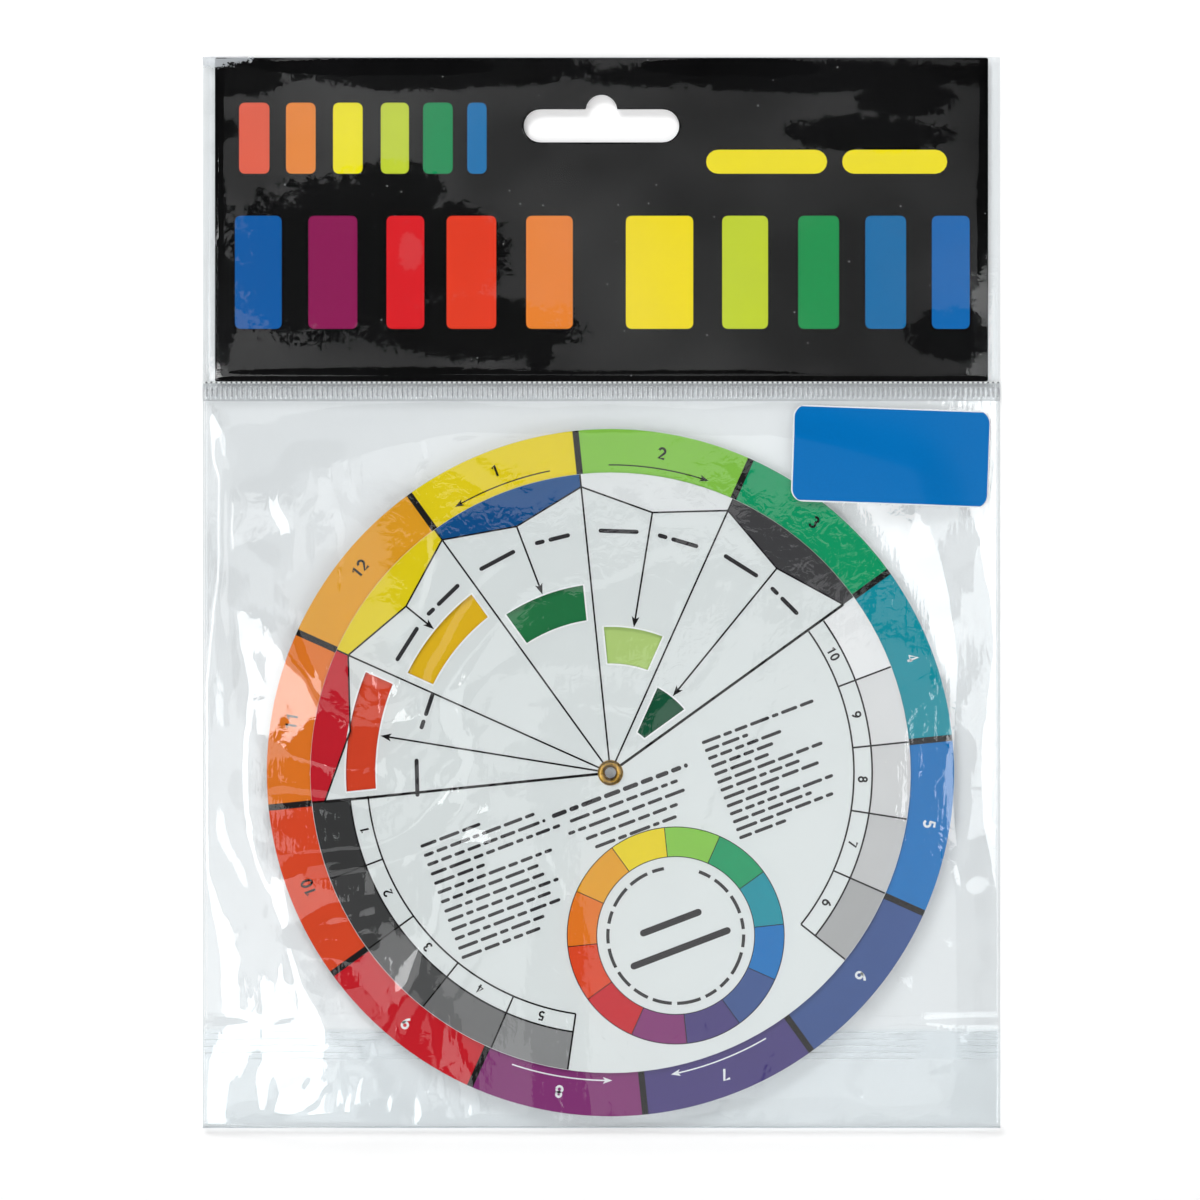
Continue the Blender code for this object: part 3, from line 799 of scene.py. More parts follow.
dashes = {
    "ink": linear((52, 50, 52)),
    "height": 0.62 * mm,
    "bold": 0.84 * mm,
    "besideArrow": 0.78 * mm,
    "shortest": 1.3 * mm,
    "longest": 4.4 * mm,
    "gap": 0.55 * mm,
    "turn": 20.85,
    "pixel": 0.1898 * mm,
    "wheelPixel": (610.4, 772.3),
    # first and last row's start in the photo, and each row's length there
    "leftRows": ((421, 846), (462, 957), (64, 118, 126, 138, 54, 122, 104, 112, 118, 106, 116, 92, 84)),
    "middleRows": ((552, 816), (568, 857), (145, 115, 127, 98, 87)),
    "rightRows": (
        (701.6, 742.7), (738.9, 837.5), (119, 46, 78, 66, 60, 112, 88, 104, 56, 116, 84, 108, 50),
    ),
    # radius in the photo, and the clock shift and length of the two beside each arrow
    "arrowDashes": (
        (193, -10.6, 38, 9.4, 38), (240, -6.8, 40, 6.8, 44), (240, -7.2, 40, 6.9, 36),
        (241, -7.2, 40, 7.1, 42), (244, -6.9, 40, 6.2, 38),
    ),
}


def wayAt(turn):
    return np.array([math.cos(math.radians(turn)), math.sin(math.radians(turn))])


def onWheel(pixel):
    # a photo pixel as a place beside the wheel's centre
    return (np.array(pixel) - dashes["wheelPixel"]) * (dashes["pixel"], -dashes["pixel"])


def dashRow(sheet, start, length, height, turn, random):
    # dashes of uneven lengths, one after another
    along = 0.0
    while along < length - 0.6 * mm:
        dash = min(random.uniform(dashes["shortest"], dashes["longest"]), length - along)
        sheet.bar(start + wayAt(turn) * (along + dash / 2), dash, height, turn, dashes["ink"])
        along += dash + dashes["gap"]


def dashBlock(sheet, low, high, lengths, turn, centred, random):
    for place, length in enumerate(lengths):
        start = low + (high - low) * place / (len(lengths) - 1)
        if centred:
            start = start + wayAt(turn) * (max(lengths) - length) / 2
        dashRow(sheet, start, length, dashes["bold" if centred and place == 0 else "height"], turn, random)


def printDashes(sheet):
    random = np.random.default_rng(7)
    for rows in ("leftRows", "middleRows", "rightRows"):
        first, last, lengths = dashes[rows]
        lengths = np.array(lengths) * dashes["pixel"]
        centred = rows == "middleRows"
        dashBlock(sheet, onWheel(first), onWheel(last), lengths, dashes["turn"], centred, random)
    pixel, height, ink = dashes["pixel"], dashes["besideArrow"], dashes["ink"]
    for place, (radius, before, beforeLength, after, afterLength) in enumerate(dashes["arrowDashes"]):
        middle = turns["frontDial"] + (place - 2) * sector
        clock = middle + before
        sheet.bar(clockPoint(radius * pixel, clock), beforeLength * pixel, height, -clock, ink)
        # the second is a short dash and a long one
        clock = middle + after
        spot, way = clockPoint(radius * pixel, clock), wayAt(-clock)
        short, gap = 10 * pixel, 4 * pixel
        long = afterLength * pixel - short - gap
        sheet.bar(spot - way * (long + gap) / 2, short, height, -clock, ink)
        sheet.bar(spot + way * (short + gap) / 2, long, height, -clock, ink)


smallRing = {
    "middle": (675.5, 934.6),
    "outer": 20.55 * mm,
    "inner": 14.95 * mm,
    "turn": -6.0,
    "outline": 0.16 * mm,
    "dashRadius": 12.85 * mm,
    "dashSpan": (20.0, 342, 350),
    "dashClock": (9, 21),
    "dashGap": 4.5,
    "bars": ((-20.85, 12.4 * mm), (159.15, 20.2 * mm)),
    "barOffset": 2.6 * mm,
    "barHeight": 1.3 * mm,
}


def printSmallRing(fills, lines):
    # a small ring of the twelve hues, clockwise from the one left of its top
    middle = onWheel(smallRing["middle"])
    inner, outer = smallRing["inner"], smallRing["outer"]
    for place, rgb in enumerate(hues.values()):
        start = smallRing["turn"] + (place - 1) * sector
        clock = np.linspace(start, start + sector, 9)
        points = np.concatenate([clockPoint(outer, clock), clockPoint(inner, clock)]) + middle
        fills.patch(points, gridFaces(2, 9), linear(rgb))
        lines.spoke(inner, outer, start, smallRing["outline"], middle)
    for radius in (inner, outer):
        lines.circle(radius, 96, smallRing["outline"], middle)
    random = np.random.default_rng(11)
    clock, lastStart, end = smallRing["dashSpan"]
    while clock < lastStart:
        span = random.uniform(*smallRing["dashClock"])
        arc = np.linspace(clock, min(clock + span, end), 6)
        lines.line(clockPoint(smallRing["dashRadius"], arc) + middle, dashes["height"], dashes["ink"])
        clock += span + smallRing["dashGap"]
    for clock, length in smallRing["bars"]:
        spot = middle + clockPoint(smallRing["barOffset"], clock)
        lines.bar(spot, length, smallRing["barHeight"], dashes["turn"], dashes["ink"])


fills, lines = PrintSheet(wheelCentre), PrintSheet(wheelCentre)
printDialZones(fills, lines)
printScale(fills, lines, dialPrint["leftScale"], dialPrint["leftGreys"], 1, 1)
printScale(fills, lines, dialPrint["rightScale"], dialPrint["rightGreys"], 10, -1)
printSmallRing(fills, lines)
printDashes(lines)
fills.finish("dialFills", dialHigh[2], "front_dial", "dial_card")
lines.finish("dialLines", dialHigh[2], "front_dial", "dial_card", 2 * inkLift)
print("stage: front dial print")


# The back dial's print, which faces down: three windows in one sector

rearPrint = {
    "hub": 3.6 * mm,
    "shapeRadius": 14.5 * mm,
    "tickInner": 52.6 * mm,
    "rimCircle": 55.6 * mm,
    "scaleGreys": (250, 226, 202, 178, 154, 130, 106, 82, 58, 34),
    "scaleSpan": (100.0, 219.0),
    "scaleOuter": 50.5 * mm,
    "scaleInner": 43.5 * mm,
    "figureDrop": 1.9 * mm,
    "arrowHead": 2 * mm,
    "arrowRoom": 0.3 * mm,
    "shapeInks": {3: (200, 40, 40), 4: (0, 100, 170)},
    # clock of each block's middle, its radius and its rows' lengths, in mm
    "dashBlocks": (
        (48, 33, (21, 24, 19, 23, 15, 24, 20)),
        (-92, 33, (22, 18, 24, 20, 23, 12, 19)),
        (160, 29, (30, 27, 31, 24, 18)),
    ),
    "rowPitch": 2.2 * mm,
}


def printRearDial():
    fills, lines = PrintSheet(wheelCentre, -1), PrintSheet(wheelCentre, -1)
    middle = turns["rearDial"]
    thin = dialPrint["thinLine"]
    rim = rearPrint["rimCircle"]
    for side in (-1, 1):
        lines.spoke(rearPrint["hub"], rim, middle + side * sector / 2, dialPrint["thickLine"])
    for shares in rearWindows:
        printCutEdge(lines, shares, middle)
    tip = clockPoint(dialRadius * rearWindows[0][1] + rearPrint["arrowRoom"], middle)
    lines.arrow(clockPoint(rim, middle), tip, thin, rearPrint["arrowHead"], blackInk)
    lines.circle(rim, 144, thin)
    for place in range(hueCount):
        lines.spoke(rearPrint["tickInner"], rim, middle + (place + 0.5) * sector, thin)
    # a triangle and a square, whose corners point at hues that go together
    for corners, rgb in rearPrint["shapeInks"].items():
        clock = middle + 180 + np.arange(corners) * 360 / corners
        lines.line(clockPoint(rearPrint["shapeRadius"], clock), dialPrint["thickLine"], linear(rgb), True)
    start, end = rearPrint["scaleSpan"]
    cell = (end - start) / len(rearPrint["scaleGreys"])
    inner, outer = rearPrint["scaleInner"], rearPrint["scaleOuter"]
    for place, grey in enumerate(rearPrint["scaleGreys"]):
        a = start + place * cell
        fills.sector(inner, outer, a, a + cell, linear((grey, grey, grey)), 3)
        lines.spoke(inner, outer, a, thin)
        spot = clockPoint(inner - rearPrint["figureDrop"], a + cell / 2)
        lines.figure(place + 1, dialPrint["numberHeight"], spot, -a - cell / 2, blackInk)
    for radius in (inner, outer):
        lines.arc(radius, start, end, 49, thin)
    random = np.random.default_rng(19)
    turn = -middle
    for clock, radius, lengths in rearPrint["dashBlocks"]:
        lengths = np.array(lengths) * mm
        down = np.array([wayAt(turn)[1], -wayAt(turn)[0]]) * rearPrint["rowPitch"] * (len(lengths) - 1)
        corner = clockPoint(radius * mm, clock) - wayAt(turn) * max(lengths) / 2 - down / 2
        dashBlock(lines, corner, corner + down, lengths, turn, False, random)
    fills.finish("rearDialFills", rearLow[2], "back_dial", "dial_card")
    lines.finish("rearDialLines", rearLow[2], "back_dial", "dial_card", 2 * inkLift)


printRearDial()
print("stage: back dial print")


# The eyelet

eyeletShape = {
    "lipSteps": 20,
    "roundSteps": 96,
    "barrelWall": 0.45 * mm,
    "lipWidth": 0.92 * mm,
    "cardRoom": 0.06 * mm,
    "lipEnd": -0.25 * math.pi,
    "lipTuck": -0.12,
}


def makeEyelet():
    # a closed profile of radius and height carried round the axis: two rolled lips and a barrel
    outer = (eyeHigh[0] - eyeLow[0]) / 2
    barrel = outer - eyeletShape["lipWidth"]
    bore = barrel - eyeletShape["barrelWall"]
    under = dialHigh[2] + eyeletShape["cardRoom"]
    over = rearLow[2] - eyeletShape["cardRoom"]
    rise = eyeHigh[2] - under
    drop = over - eyeLow[2]
    middle, half = (bore + outer) / 2, (outer - bore) / 2
    angle = np.linspace(math.pi, eyeletShape["lipEnd"], eyeletShape["lipSteps"])
    lipRadius = middle + half * np.cos(angle)
    bulge = np.sin(angle).clip(eyeletShape["lipTuck"])
    front = np.stack([lipRadius, under + rise * bulge], 1)
    back = np.stack([lipRadius, over - drop * bulge], 1)[::-1]
    profile = np.concatenate([front, [[barrel, under], [barrel, over]], back])
    around = np.linspace(0, 2 * math.pi, eyeletShape["roundSteps"], endpoint=False)
    radius, level = profile[:, 0][:, None], profile[:, 1][:, None]
    x, y = wheelCentre[0] + radius * np.cos(around), wheelCentre[1] + radius * np.sin(around)
    points = np.stack(np.broadcast_arrays(x, y, level), -1).reshape(-1, 3)
    rows = len(profile)
    faces = gridFaces(rows, around.size, True)
    ring = np.arange(around.size)
    after = (ring + 1) % around.size
    last = (rows - 1) * around.size
    seam = np.stack([last + ring, last + after, after, ring], 1)
    made = makePiece("rolledEyelet", points, np.concatenate([faces, seam]), "brass")
    fixNormals(made)
    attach(made, "wheel")
    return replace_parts(made, "eyelet")


def fixNormals(piece):
    bm = bmesh.new()
    bm.from_mesh(piece.data)
    bmesh.ops.recalc_face_normals(bm, faces=bm.faces)
    bm.to_mesh(piece.data)
    bm.free()


makeEyelet()
print("stage: eyelet")


# The header card's print: plain chips in the order of the hues

headerPrint = {
    "pixel": 0.1898 * mm,
    "bigTop": 216,
    "bigLow": 329,
    "smallTop": 103,
    "smallLow": 174,
    "corner": 1.1 * mm,
    "chipShare": 0.74,
    # each chip's left and right side and its colour
    "bigChips": (
        (227, 290, (0, 92, 168)), (300, 366, (146, 22, 86)), (380, 431, (228, 28, 36)),
        (438, 505, (238, 62, 34)), (518, 581, (245, 136, 48)), (614, 705, (255, 230, 0)),
        (714, 776, (204, 220, 40)), (791, 846, (6, 150, 76)), (858, 913, (0, 112, 172)),
        (925, 976, (0, 106, 182)),
    ),
    "smallChips": (
        (234, 275, (239, 98, 70)), (281, 321, (246, 142, 50)), (328, 368, (254, 240, 0)),
        (376, 414, (206, 222, 56)), (418, 458, (2, 148, 86)), (464, 490, (2, 118, 180)),
    ),
    "yellowBars": ((706, 827), (842, 947)),
    "barRows": (150, 174),
    "barInk": (255, 235, 20),
    "packMiddle": (601.5, 592.5),
}


def photoPlace(x, y):
    # a photo pixel as a place on the pack
    middleX, middleY = headerPrint["packMiddle"]
    return np.array([x - middleX, middleY - y]) * headerPrint["pixel"]


def printHeader():
    sheet, pixel = PrintSheet(), headerPrint["pixel"]
    rows = (("bigChips", "bigTop", "bigLow"), ("smallChips", "smallTop", "smallLow"))
    for chips, top, low in rows:
        for left, right, rgb in headerPrint[chips]:
            middle = photoPlace((left + right) / 2, (headerPrint[top] + headerPrint[low]) / 2)
            width = (right - left) * pixel * headerPrint["chipShare"]
            height = (headerPrint[low] - headerPrint[top]) * pixel
            outline = roundedOutline(width, height, headerPrint["corner"], 7) + middle
            sheet.patch(outline, [range(len(outline))], linear(rgb))
    top, low = headerPrint["barRows"]
    for left, right in headerPrint["yellowBars"]:
        middle = photoPlace((left + right) / 2, (top + low) / 2)
        sheet.bar(middle, (right - left) * pixel, (low - top) * pixel, 0, linear(headerPrint["barInk"]))
    sheet.finish("headerChips", cardHigh[2], "bag", "header_card")


printHeader()
print("stage: header print")


# The film: one height for every place of the bag

filmShape = {
    "overWheel": 2.95 * mm,
    "sag": 0.45,
    "sagReach": 30 * mm,
    # how long the slopes are from the seams up to the wheel
    "leftRamp": 2.6 * mm,
    "topRamp": 5.2 * mm,
    "rightRamp": 8.5 * mm,
    "cornerRamp": 14 * mm,
    "cornerReach": 26 * mm,
    "lowerLeftRamp": 7 * mm,
    "lowLeftRamp": 14 * mm,
    "weldRamp": 1.5 * mm,
    # how far the slopes and the crinkles are moved about, and the slopes' limits
    "slopeDrift": (2.0 * mm, 0.1 * mm),
    "crinkleDrift": (6 * mm, 0.12 * mm),
    "seamDrift": (2.5 * mm, 1.2 * mm),
    "sealDrift": (0.5 * mm, 2.0 * mm),
    # where a change starts and how long it is: down from the seal, down from the middle,
    # away from the wheel, and towards the left
    "lowerSpan": (30 * mm, 30 * mm),
    "lowSpan": (40 * mm, 30 * mm),
    "wheelSpan": (-4 * mm, 14 * mm),
    "calmSpan": (20 * mm, 36 * mm),
    "crumpleSpan": (8 * mm, 40 * mm),
    "puckerSpan": (18 * mm, 22 * mm),
    "ridge": (17 * mm, 14 * mm),
    "foldSlope": 0.1,
    "foldLift": 0.3 * mm,
    "foldSharpness": 0.975,
    "foldScale": 1.35,
    "leastStrength": 0.05,
    "upperStrength": 0.16,
    "blobHeight": 0.06 * mm,
    "blobShare": 0.25,
    "blobEdge": 4,
    "fine": 0.012 * mm,
    "mouthCrinkle": 0.17 * mm,
    "mouthBand": (11 * mm, 8 * mm),
    "puckerShare": 0.06,
    "puckerEdge": 2.4,
    "puckerStretch": (1.3, 0.8),
    "maskReach": 4 * mm,
    "headerSide": 6 * mm,
    "headerWave": 0.05 * mm,
    "labelShare": 0.3,
    "labelReach": 6 * mm,
    "rearWave": 0.13 * mm,
    "rearEdge": 1.2,
    "rearSide": 5 * mm,
    "rearEnd": 6 * mm,
    "waveFade": 0.9,
}
# each band of waves: seed, number, shortest, longest, heading and spread
waveBands = {
    "warpX": (3, 6, 40 * mm, 90 * mm, 0, 360),
    "warpY": (4, 6, 40 * mm, 90 * mm, 0, 360),
    "ruffleX": (5, 10, 4 * mm, 11 * mm, 0, 360),
    "ruffleY": (6, 10, 4 * mm, 11 * mm, 0, 360),
    "fold": (42, 4, 30 * mm, 64 * mm, 25, 140),
    "blob": (43, 12, 11 * mm, 30 * mm, 0, 360),
    "fine": (44, 16, 3.5 * mm, 8 * mm, 0, 360),
    "header": (45, 12, 30 * mm, 80 * mm, 0, 360),
    "rear": (46, 16, 10 * mm, 34 * mm, 0, 360),
}


def eased(share):
    held = np.clip(share, 0, 1)
    return held * held * (3 - 2 * held)


def rising(value, start, reach):
    # 0 up to the start, 1 from the start and reach on
    return eased((value - start) / reach)


def atLeast(least, share):
    return least + (1 - least) * share


def humps(total, edge):
    # flat hollows at 0 and flat tops at 2, with slopes that grow steeper with the edge
    return 1 + np.tanh(edge * total)


def makeWaves(seed, count, shortest, longest, heading, spread):
    # wave vectors in radians per metre, phases and heights for a band of wavelengths
    random = np.random.default_rng(seed)
    length = shortest * (longest / shortest) ** random.random(count)
    turn = np.radians(heading + spread * (random.random(count) - 0.5))
    phase = random.random(count) * 2 * math.pi
    height = (length / longest) ** filmShape["waveFade"]
    height /= math.sqrt((height**2).sum() / 2)
    number = 2 * math.pi / length
    return np.stack([number * np.cos(turn), number * np.sin(turn), phase, height], 1)


waves = {name: makeWaves(*band) for name, band in waveBands.items()}


def waveSum(x, y, name):
    # the sum of a band's plane waves, about 1 high
    total = 0.0
    for alongX, alongY, phase, height in waves[name]:
        total = total + height * np.sin(alongX * x + alongY * y + phase)
    return total


def foldSum(x, y):
    # sharp folds: triangle waves whose sides rise by about the slope, their ridges a little rounded
    total = 0.0
    for alongX, alongY, phase, height in waves["fold"]:
        rise = filmShape["foldSlope"] * (2 * math.pi / math.hypot(alongX, alongY)) / 4
        corner = np.arcsin(filmShape["foldSharpness"] * np.sin(alongX * x + alongY * y + phase))
        total = total + rise * corner / filmShape["foldScale"]
    return total / math.sqrt(len(waves["fold"]) / 2)


def backLevel(x, y):
    return flapLift * eased((flapTopY + sizes["flapStep"] - y) / sizes["flapStep"])


def fromSeam(x):
    return halfWidth - sizes["seamWidth"] - np.abs(x)


def fromWheelWay(x, y):
    # from the middle of the way that the wheel takes to the mouth
    across = x - wheelCentre[0]
    above = np.maximum(y - wheelCentre[1], 0)
    return np.hypot(across, above)


def wheelTunnel(x, y):
    # how far outside that way a place is
    return fromWheelWay(x, y) - discRadius


def overWheelLevel(x, y):
    # the film rests on the dial, and is a little higher along the eyelet's way to the mouth
    start, reach = filmShape["ridge"]
    ridge = eased((start - fromWheelWay(x, y)) / reach)
    return filmShape["overWheel"] + ridge * (pocketCeiling - filmShape["overWheel"])


def meander(x, y, depth, ruffle):
    # places moved about, so that nothing on the film runs quite straight
    bentX = x + depth * waveSum(x, y, "warpX") + ruffle * waveSum(x, y, "ruffleX")
    bentY = y + depth * waveSum(x, y, "warpY") + ruffle * waveSum(x, y, "ruffleY")
    return bentX, bentY


def pocketRoom(x, y):
    # 0 at the seams and the seal, 1 over the wheel; the slopes between wander, and are longer at the right
    shape = filmShape
    bentX, bentY = meander(x, y, *shape["slopeDrift"])
    seam = halfWidth - sizes["seamWidth"]
    out, back = shape["seamDrift"]
    fromLeft = seam + np.clip(bentX, x - out, x + back)
    fromRight = seam - np.clip(bentX, x - back, x + out)
    down, up = shape["sealDrift"]
    fromSeal = sealLowY - np.clip(bentY, y - down, y + up)
    corner = shape["cornerRamp"] * eased(wheelTunnel(x, y) / shape["cornerReach"])
    lower = rising(sealLowY - y, *shape["lowerSpan"])
    fromWheel = np.hypot(x - wheelCentre[0], y - wheelCentre[1]) - discRadius
    lowCorner = rising(-y, *shape["lowSpan"]) * rising(fromWheel, *shape["wheelSpan"])
    leftReach = shape["leftRamp"] + shape["lowerLeftRamp"] * lower + shape["lowLeftRamp"] * lowCorner
    left, right = eased(fromLeft / leftReach), eased(fromRight / (shape["rightRamp"] + corner))
    edge = eased((seam - np.abs(x)) / shape["weldRamp"]) * eased((sealLowY - y) / shape["weldRamp"])
    return left * right * edge * eased(fromSeal / (shape["topRamp"] + corner))


def frontBase(x, y):
    # the film's level without its crinkles: welded at the seams, over the wheel, over the card
    welded = backLevel(x, y) + weldedLevel
    sag = 1 - filmShape["sag"] * eased(wheelTunnel(x, y) / filmShape["sagReach"])
    pocket = welded + pocketRoom(x, y) * (overWheelLevel(x, y) * sag - welded)
    besideCard = sizes["cardSideMargin"] - sizes["seamWidth"]
    header = eased(fromSeam(x) / besideCard) * eased((y - sealTopY) / sizes["cardSeat"])
    return np.maximum(pocket, welded + header * (headerCeiling - welded))


def crinkle(x, y):
    # the film's crinkles, never below its level over the wheel: the most at the left and low down
    shape = filmShape
    bentX, bentY = meander(x, y, *shape["crinkleDrift"])
    leftward, lowness = rising(-x, *shape["crumpleSpan"]), rising(sealLowY - y, *shape["calmSpan"])
    strength = np.clip(shape["leastStrength"] + leftward * atLeast(shape["upperStrength"], lowness), 0, 1)
    folds = strength * (foldSum(bentX, bentY) + shape["foldLift"])
    blobHeight = shape["blobHeight"] * (atLeast(shape["blobShare"], leftward) + leftward * (1 - lowness))
    blobs = blobHeight * humps(waveSum(bentX, bentY, "blob"), shape["blobEdge"])
    fine = shape["fine"] * strength * (2 + waveSum(bentX, bentY, "fine"))
    band, fade = shape["mouthBand"]
    mouth = eased((mouthY + band - y) / fade)
    mouth = mouth * atLeast(shape["puckerShare"], rising(-x, *shape["puckerSpan"]))
    stretchX, stretchY = shape["puckerStretch"]
    pucker = humps(waveSum(stretchX * x, stretchY * y, "ruffleY"), shape["puckerEdge"])
    inPocket = np.maximum(folds, 0) + blobs + fine + shape["mouthCrinkle"] * mouth * pucker
    reach = shape["maskReach"]
    pocketMask = pocketRoom(x, y) * eased((y - mouthY) / reach + 0.3)
    headerMask = eased(fromSeam(x) / shape["headerSide"])
    headerMask = headerMask * eased((y - sealTopY) / reach) * eased((halfHeight - y) / reach)
    inHeader = shape["headerWave"] * (1.6 + waveSum(x, y, "header"))
    return inPocket * pocketMask + inHeader * headerMask


def calmUnderLabel(x, y):
    # the sticker stiffens the film under it
    reach = (labelHigh[:2] - labelLow[:2]) / 2
    outX = np.maximum(np.abs(x - labelMiddle[0]) - reach[0], 0)
    outY = np.maximum(np.abs(y - labelMiddle[1]) - reach[1], 0)
    return atLeast(filmShape["labelShare"], eased(np.hypot(outX, outY) / filmShape["labelReach"]))


def frontLevel(x, y):
    return frontBase(x, y) + crinkle(x, y) * calmUnderLabel(x, y)


def rearLevel(x, y):
    # the back film lies on the table and crinkles a little where the wheel isn't
    wave = filmShape["rearWave"] * humps(waveSum(x, y, "rear"), filmShape["rearEdge"])
    end = filmShape["rearEnd"]
    side = eased(fromSeam(x) / filmShape["rearSide"])
    return backLevel(x, y) + wave * (side * eased((sealLowY - y) / end) * eased((y - mouthY) / end))


def sheetPiece(name, x, y, z, finish, body, slot, thick=sizes["film"], closed=False, ink=None):
    # a grid of places, each at its level, made a thickness thick upwards
    points = np.stack([x, y, z], -1).reshape(-1, 3)
    made = makePiece(name, points, gridFaces(*x.shape, closed), finish, ink=ink)
    fixUp(made)
    thicken(made, thick)
    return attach(made, body)


def fixUp(piece):
    # an open sheet's faces all look up
    if np.mean([p.normal.z for p in list(piece.data.polygons)[:50]]) < 0:
        piece.data.flip_normals()


def slotReach(angle):
    # how far the hang slot's edge is from its centre, in each direction
    end = sizes["slotHeight"] / 2
    endX = sizes["slotLength"] / 2 - end
    c, s = np.abs(np.cos(angle)), np.sin(angle)
    top = end / np.maximum(np.abs(s), 1e-9)
    roundEnd = endX * c + np.sqrt(np.maximum(end**2 - (endX * s) ** 2, 0))
    bar = np.where(top * c <= endX, top, roundEnd)
    radius = sizes["slotBumpRadius"]
    rise = end + sizes["slotBumpRise"] - radius
    under = radius**2 - (rise * c) ** 2
    bump = np.where((s > 0) & (under > 0), rise * s + np.sqrt(np.maximum(under, 0)), 0)
    return np.maximum(bar, bump)


def slottedGrid(lowY, columns=440, rows=56):
    # rays from the slot's centre: each row is a step from the slot's edge to the header's outline
    right, up, down = halfWidth, halfHeight - slotY, slotY - lowY
    sides = ((up, right), (up, -right), (-down, -right), (-down, right))
    corners = sorted(math.atan2(*side) % (2 * math.pi) for side in sides)
    ends = corners[1:] + [corners[0] + 2 * math.pi]
    parts = []
    for start, end, share in zip(corners, ends, (0.34, 0.12, 0.4, 0.14)):
        parts.append(np.linspace(start, end, int(columns * share), endpoint=False))
    angle = np.concatenate(parts)
    c, s = np.cos(angle), np.sin(angle)
    toSide = right / np.maximum(np.abs(c), 1e-9)
    toEnd = np.where(s > 0, up, down) / np.maximum(np.abs(s), 1e-9)
    outer = np.minimum(toSide, toEnd)
    inner = slotReach(angle)
    share = (np.linspace(0, 1, rows) ** 1.25)[:, None]
    reach = inner * (1 - share) + outer * share
    return reach * c, slotY + reach * s


def plainGrid(lowX, highX, lowY, highY, pitch, crowd=0.0):
    # columns crowd towards the left, where the film is crumpled most
    share = np.linspace(0, 1, int((highX - lowX) / pitch) + 1)
    x = lowX + (highX - lowX) * (share - crowd * np.sin(math.pi * share) / math.pi)
    y = np.linspace(lowY, highY, int((highY - lowY) / pitch) + 1)
    return np.meshgrid(x, y)


def makeFilms():
    pocket = plainGrid(-halfWidth, halfWidth, mouthY, sealTopY, 0.66 * mm, 0.35)
    front = sheetPiece("pocketFilm", *pocket, frontLevel(*pocket), "film", "bag", "film")
    header = slottedGrid(sealTopY)
    sheetPiece("headerFilm", *header, frontLevel(*header), "cardFilm", "bag", "film", closed=True)
    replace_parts(front, "bag_front_film")
    rear = plainGrid(-halfWidth, halfWidth, mouthY, sealTopY, 0.95 * mm)
    back = sheetPiece("pocketBackFilm", *rear, rearLevel(*rear), "backFilm", "bag", "film")
    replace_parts(back, "bag_back_film")
    sheetPiece("headerBackFilm", *header, rearLevel(*header), "backFilm", "bag", "film", closed=True)
    x, y = plainGrid(-halfWidth, halfWidth, mouthY, flapTopY, 1.2 * mm)
    flap = sheetPiece("flapFilm", x, y, np.zeros_like(x), "flapFilm", "flap", "film")
    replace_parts(flap, "bag_flap")


def makeFold():
    # the crease: a half tube of film from the back panel's lower edge round to the flap
    middle = (flapLift + sizes["film"]) / 2
    angle = np.linspace(-math.pi / 2, math.pi / 2, 13)[:, None]
    x = np.linspace(-halfWidth, halfWidth, 60)[None, :]
    inner = middle - sizes["film"]
    room = mouthY - foldPlace[1] - sizes["film"]
    y, z = mouthY - room * np.cos(angle), middle - inner * np.sin(angle)
    points = np.stack(np.broadcast_arrays(x, y, z), -1).reshape(-1, 3)
    made = makePiece("foldedFilm", points, gridFaces(angle.size, x.size), "foldedFilm")
    outward = np.mean([p.normal.y for p in made.data.polygons])
    if outward > 0:
        made.data.flip_normals()
    thicken(made, sizes["film"])
    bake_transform(made)


makeFilms()
makeFold()
print("stage: films")


# The crimped seal under the header card

def makeSeal():
    # teeth run across the band: a rounded wave along x that fades at the band's long edges
    shape, pitch = sealShape, sealShape["pitch"]
    teeth = int(2 * halfWidth / pitch)
    x = np.linspace(-halfWidth, halfWidth, teeth * shape["stepsPerTooth"] + 1)
    y = np.linspace(sealLowY - shape["pastLow"], sealTopY + shape["pastTop"], shape["rows"])
    x, y = np.meshgrid(x, y)
    share = (y - y.min()) / (y.max() - y.min())
    band = eased(share / shape["fade"]) * eased((1 - share) / shape["fade"])
    tooth = 0.5 + 0.5 * np.sin(2 * math.pi * x / pitch)
    uneven = 0.9 + 0.12 * np.tanh(waveSum(x, y, "header"))
    z = frontLevel(x, y) + sizes["film"] + shape["lift"] + shape["height"] * band * tooth * uneven
    sheetPiece("sealTeeth", x, y, z, "sealedFilm", "bag", "film", shape["film"])
    # painted highlights: white dashes along the seal's upper edge where the crimp's ribs catch the light,
    # and a darker painted shadow of the card's edge between each two
    glintsAndShadow = PrintSheet()
    level, gap = cardLow[1] - shape["dashDrop"], pitch - shape["dash"] - shape["gapRoom"]
    tall = shape["dashHeight"]
    for place in range(teeth):
        start = -halfWidth + place * pitch
        # the white dashes are painted highlights, the grey bars painted shadow
        glintsAndShadow.bar((start + shape["dashPlace"] * pitch, level), shape["dash"], tall, 0, whiteInk)
        glintsAndShadow.bar((start + shape["gapPlace"] * pitch, level), gap, shape["gapHeight"] * tall, 0, paintedShadowInk)
    glintsAndShadow.finish("sealPaintedGlintsAndShadow", headerCeiling, "bag", "film", shape["dashLift"])


makeSeal()
print("stage: seal")


# The blue sticker

stickerShape = {
    "width": 37.6 * mm,
    "height": 18.4 * mm,
    "corner": 2.4 * mm,
    "rim": 0.28 * mm,
    "thick": 0.08 * mm,
    "lift": 0.06 * mm,
}


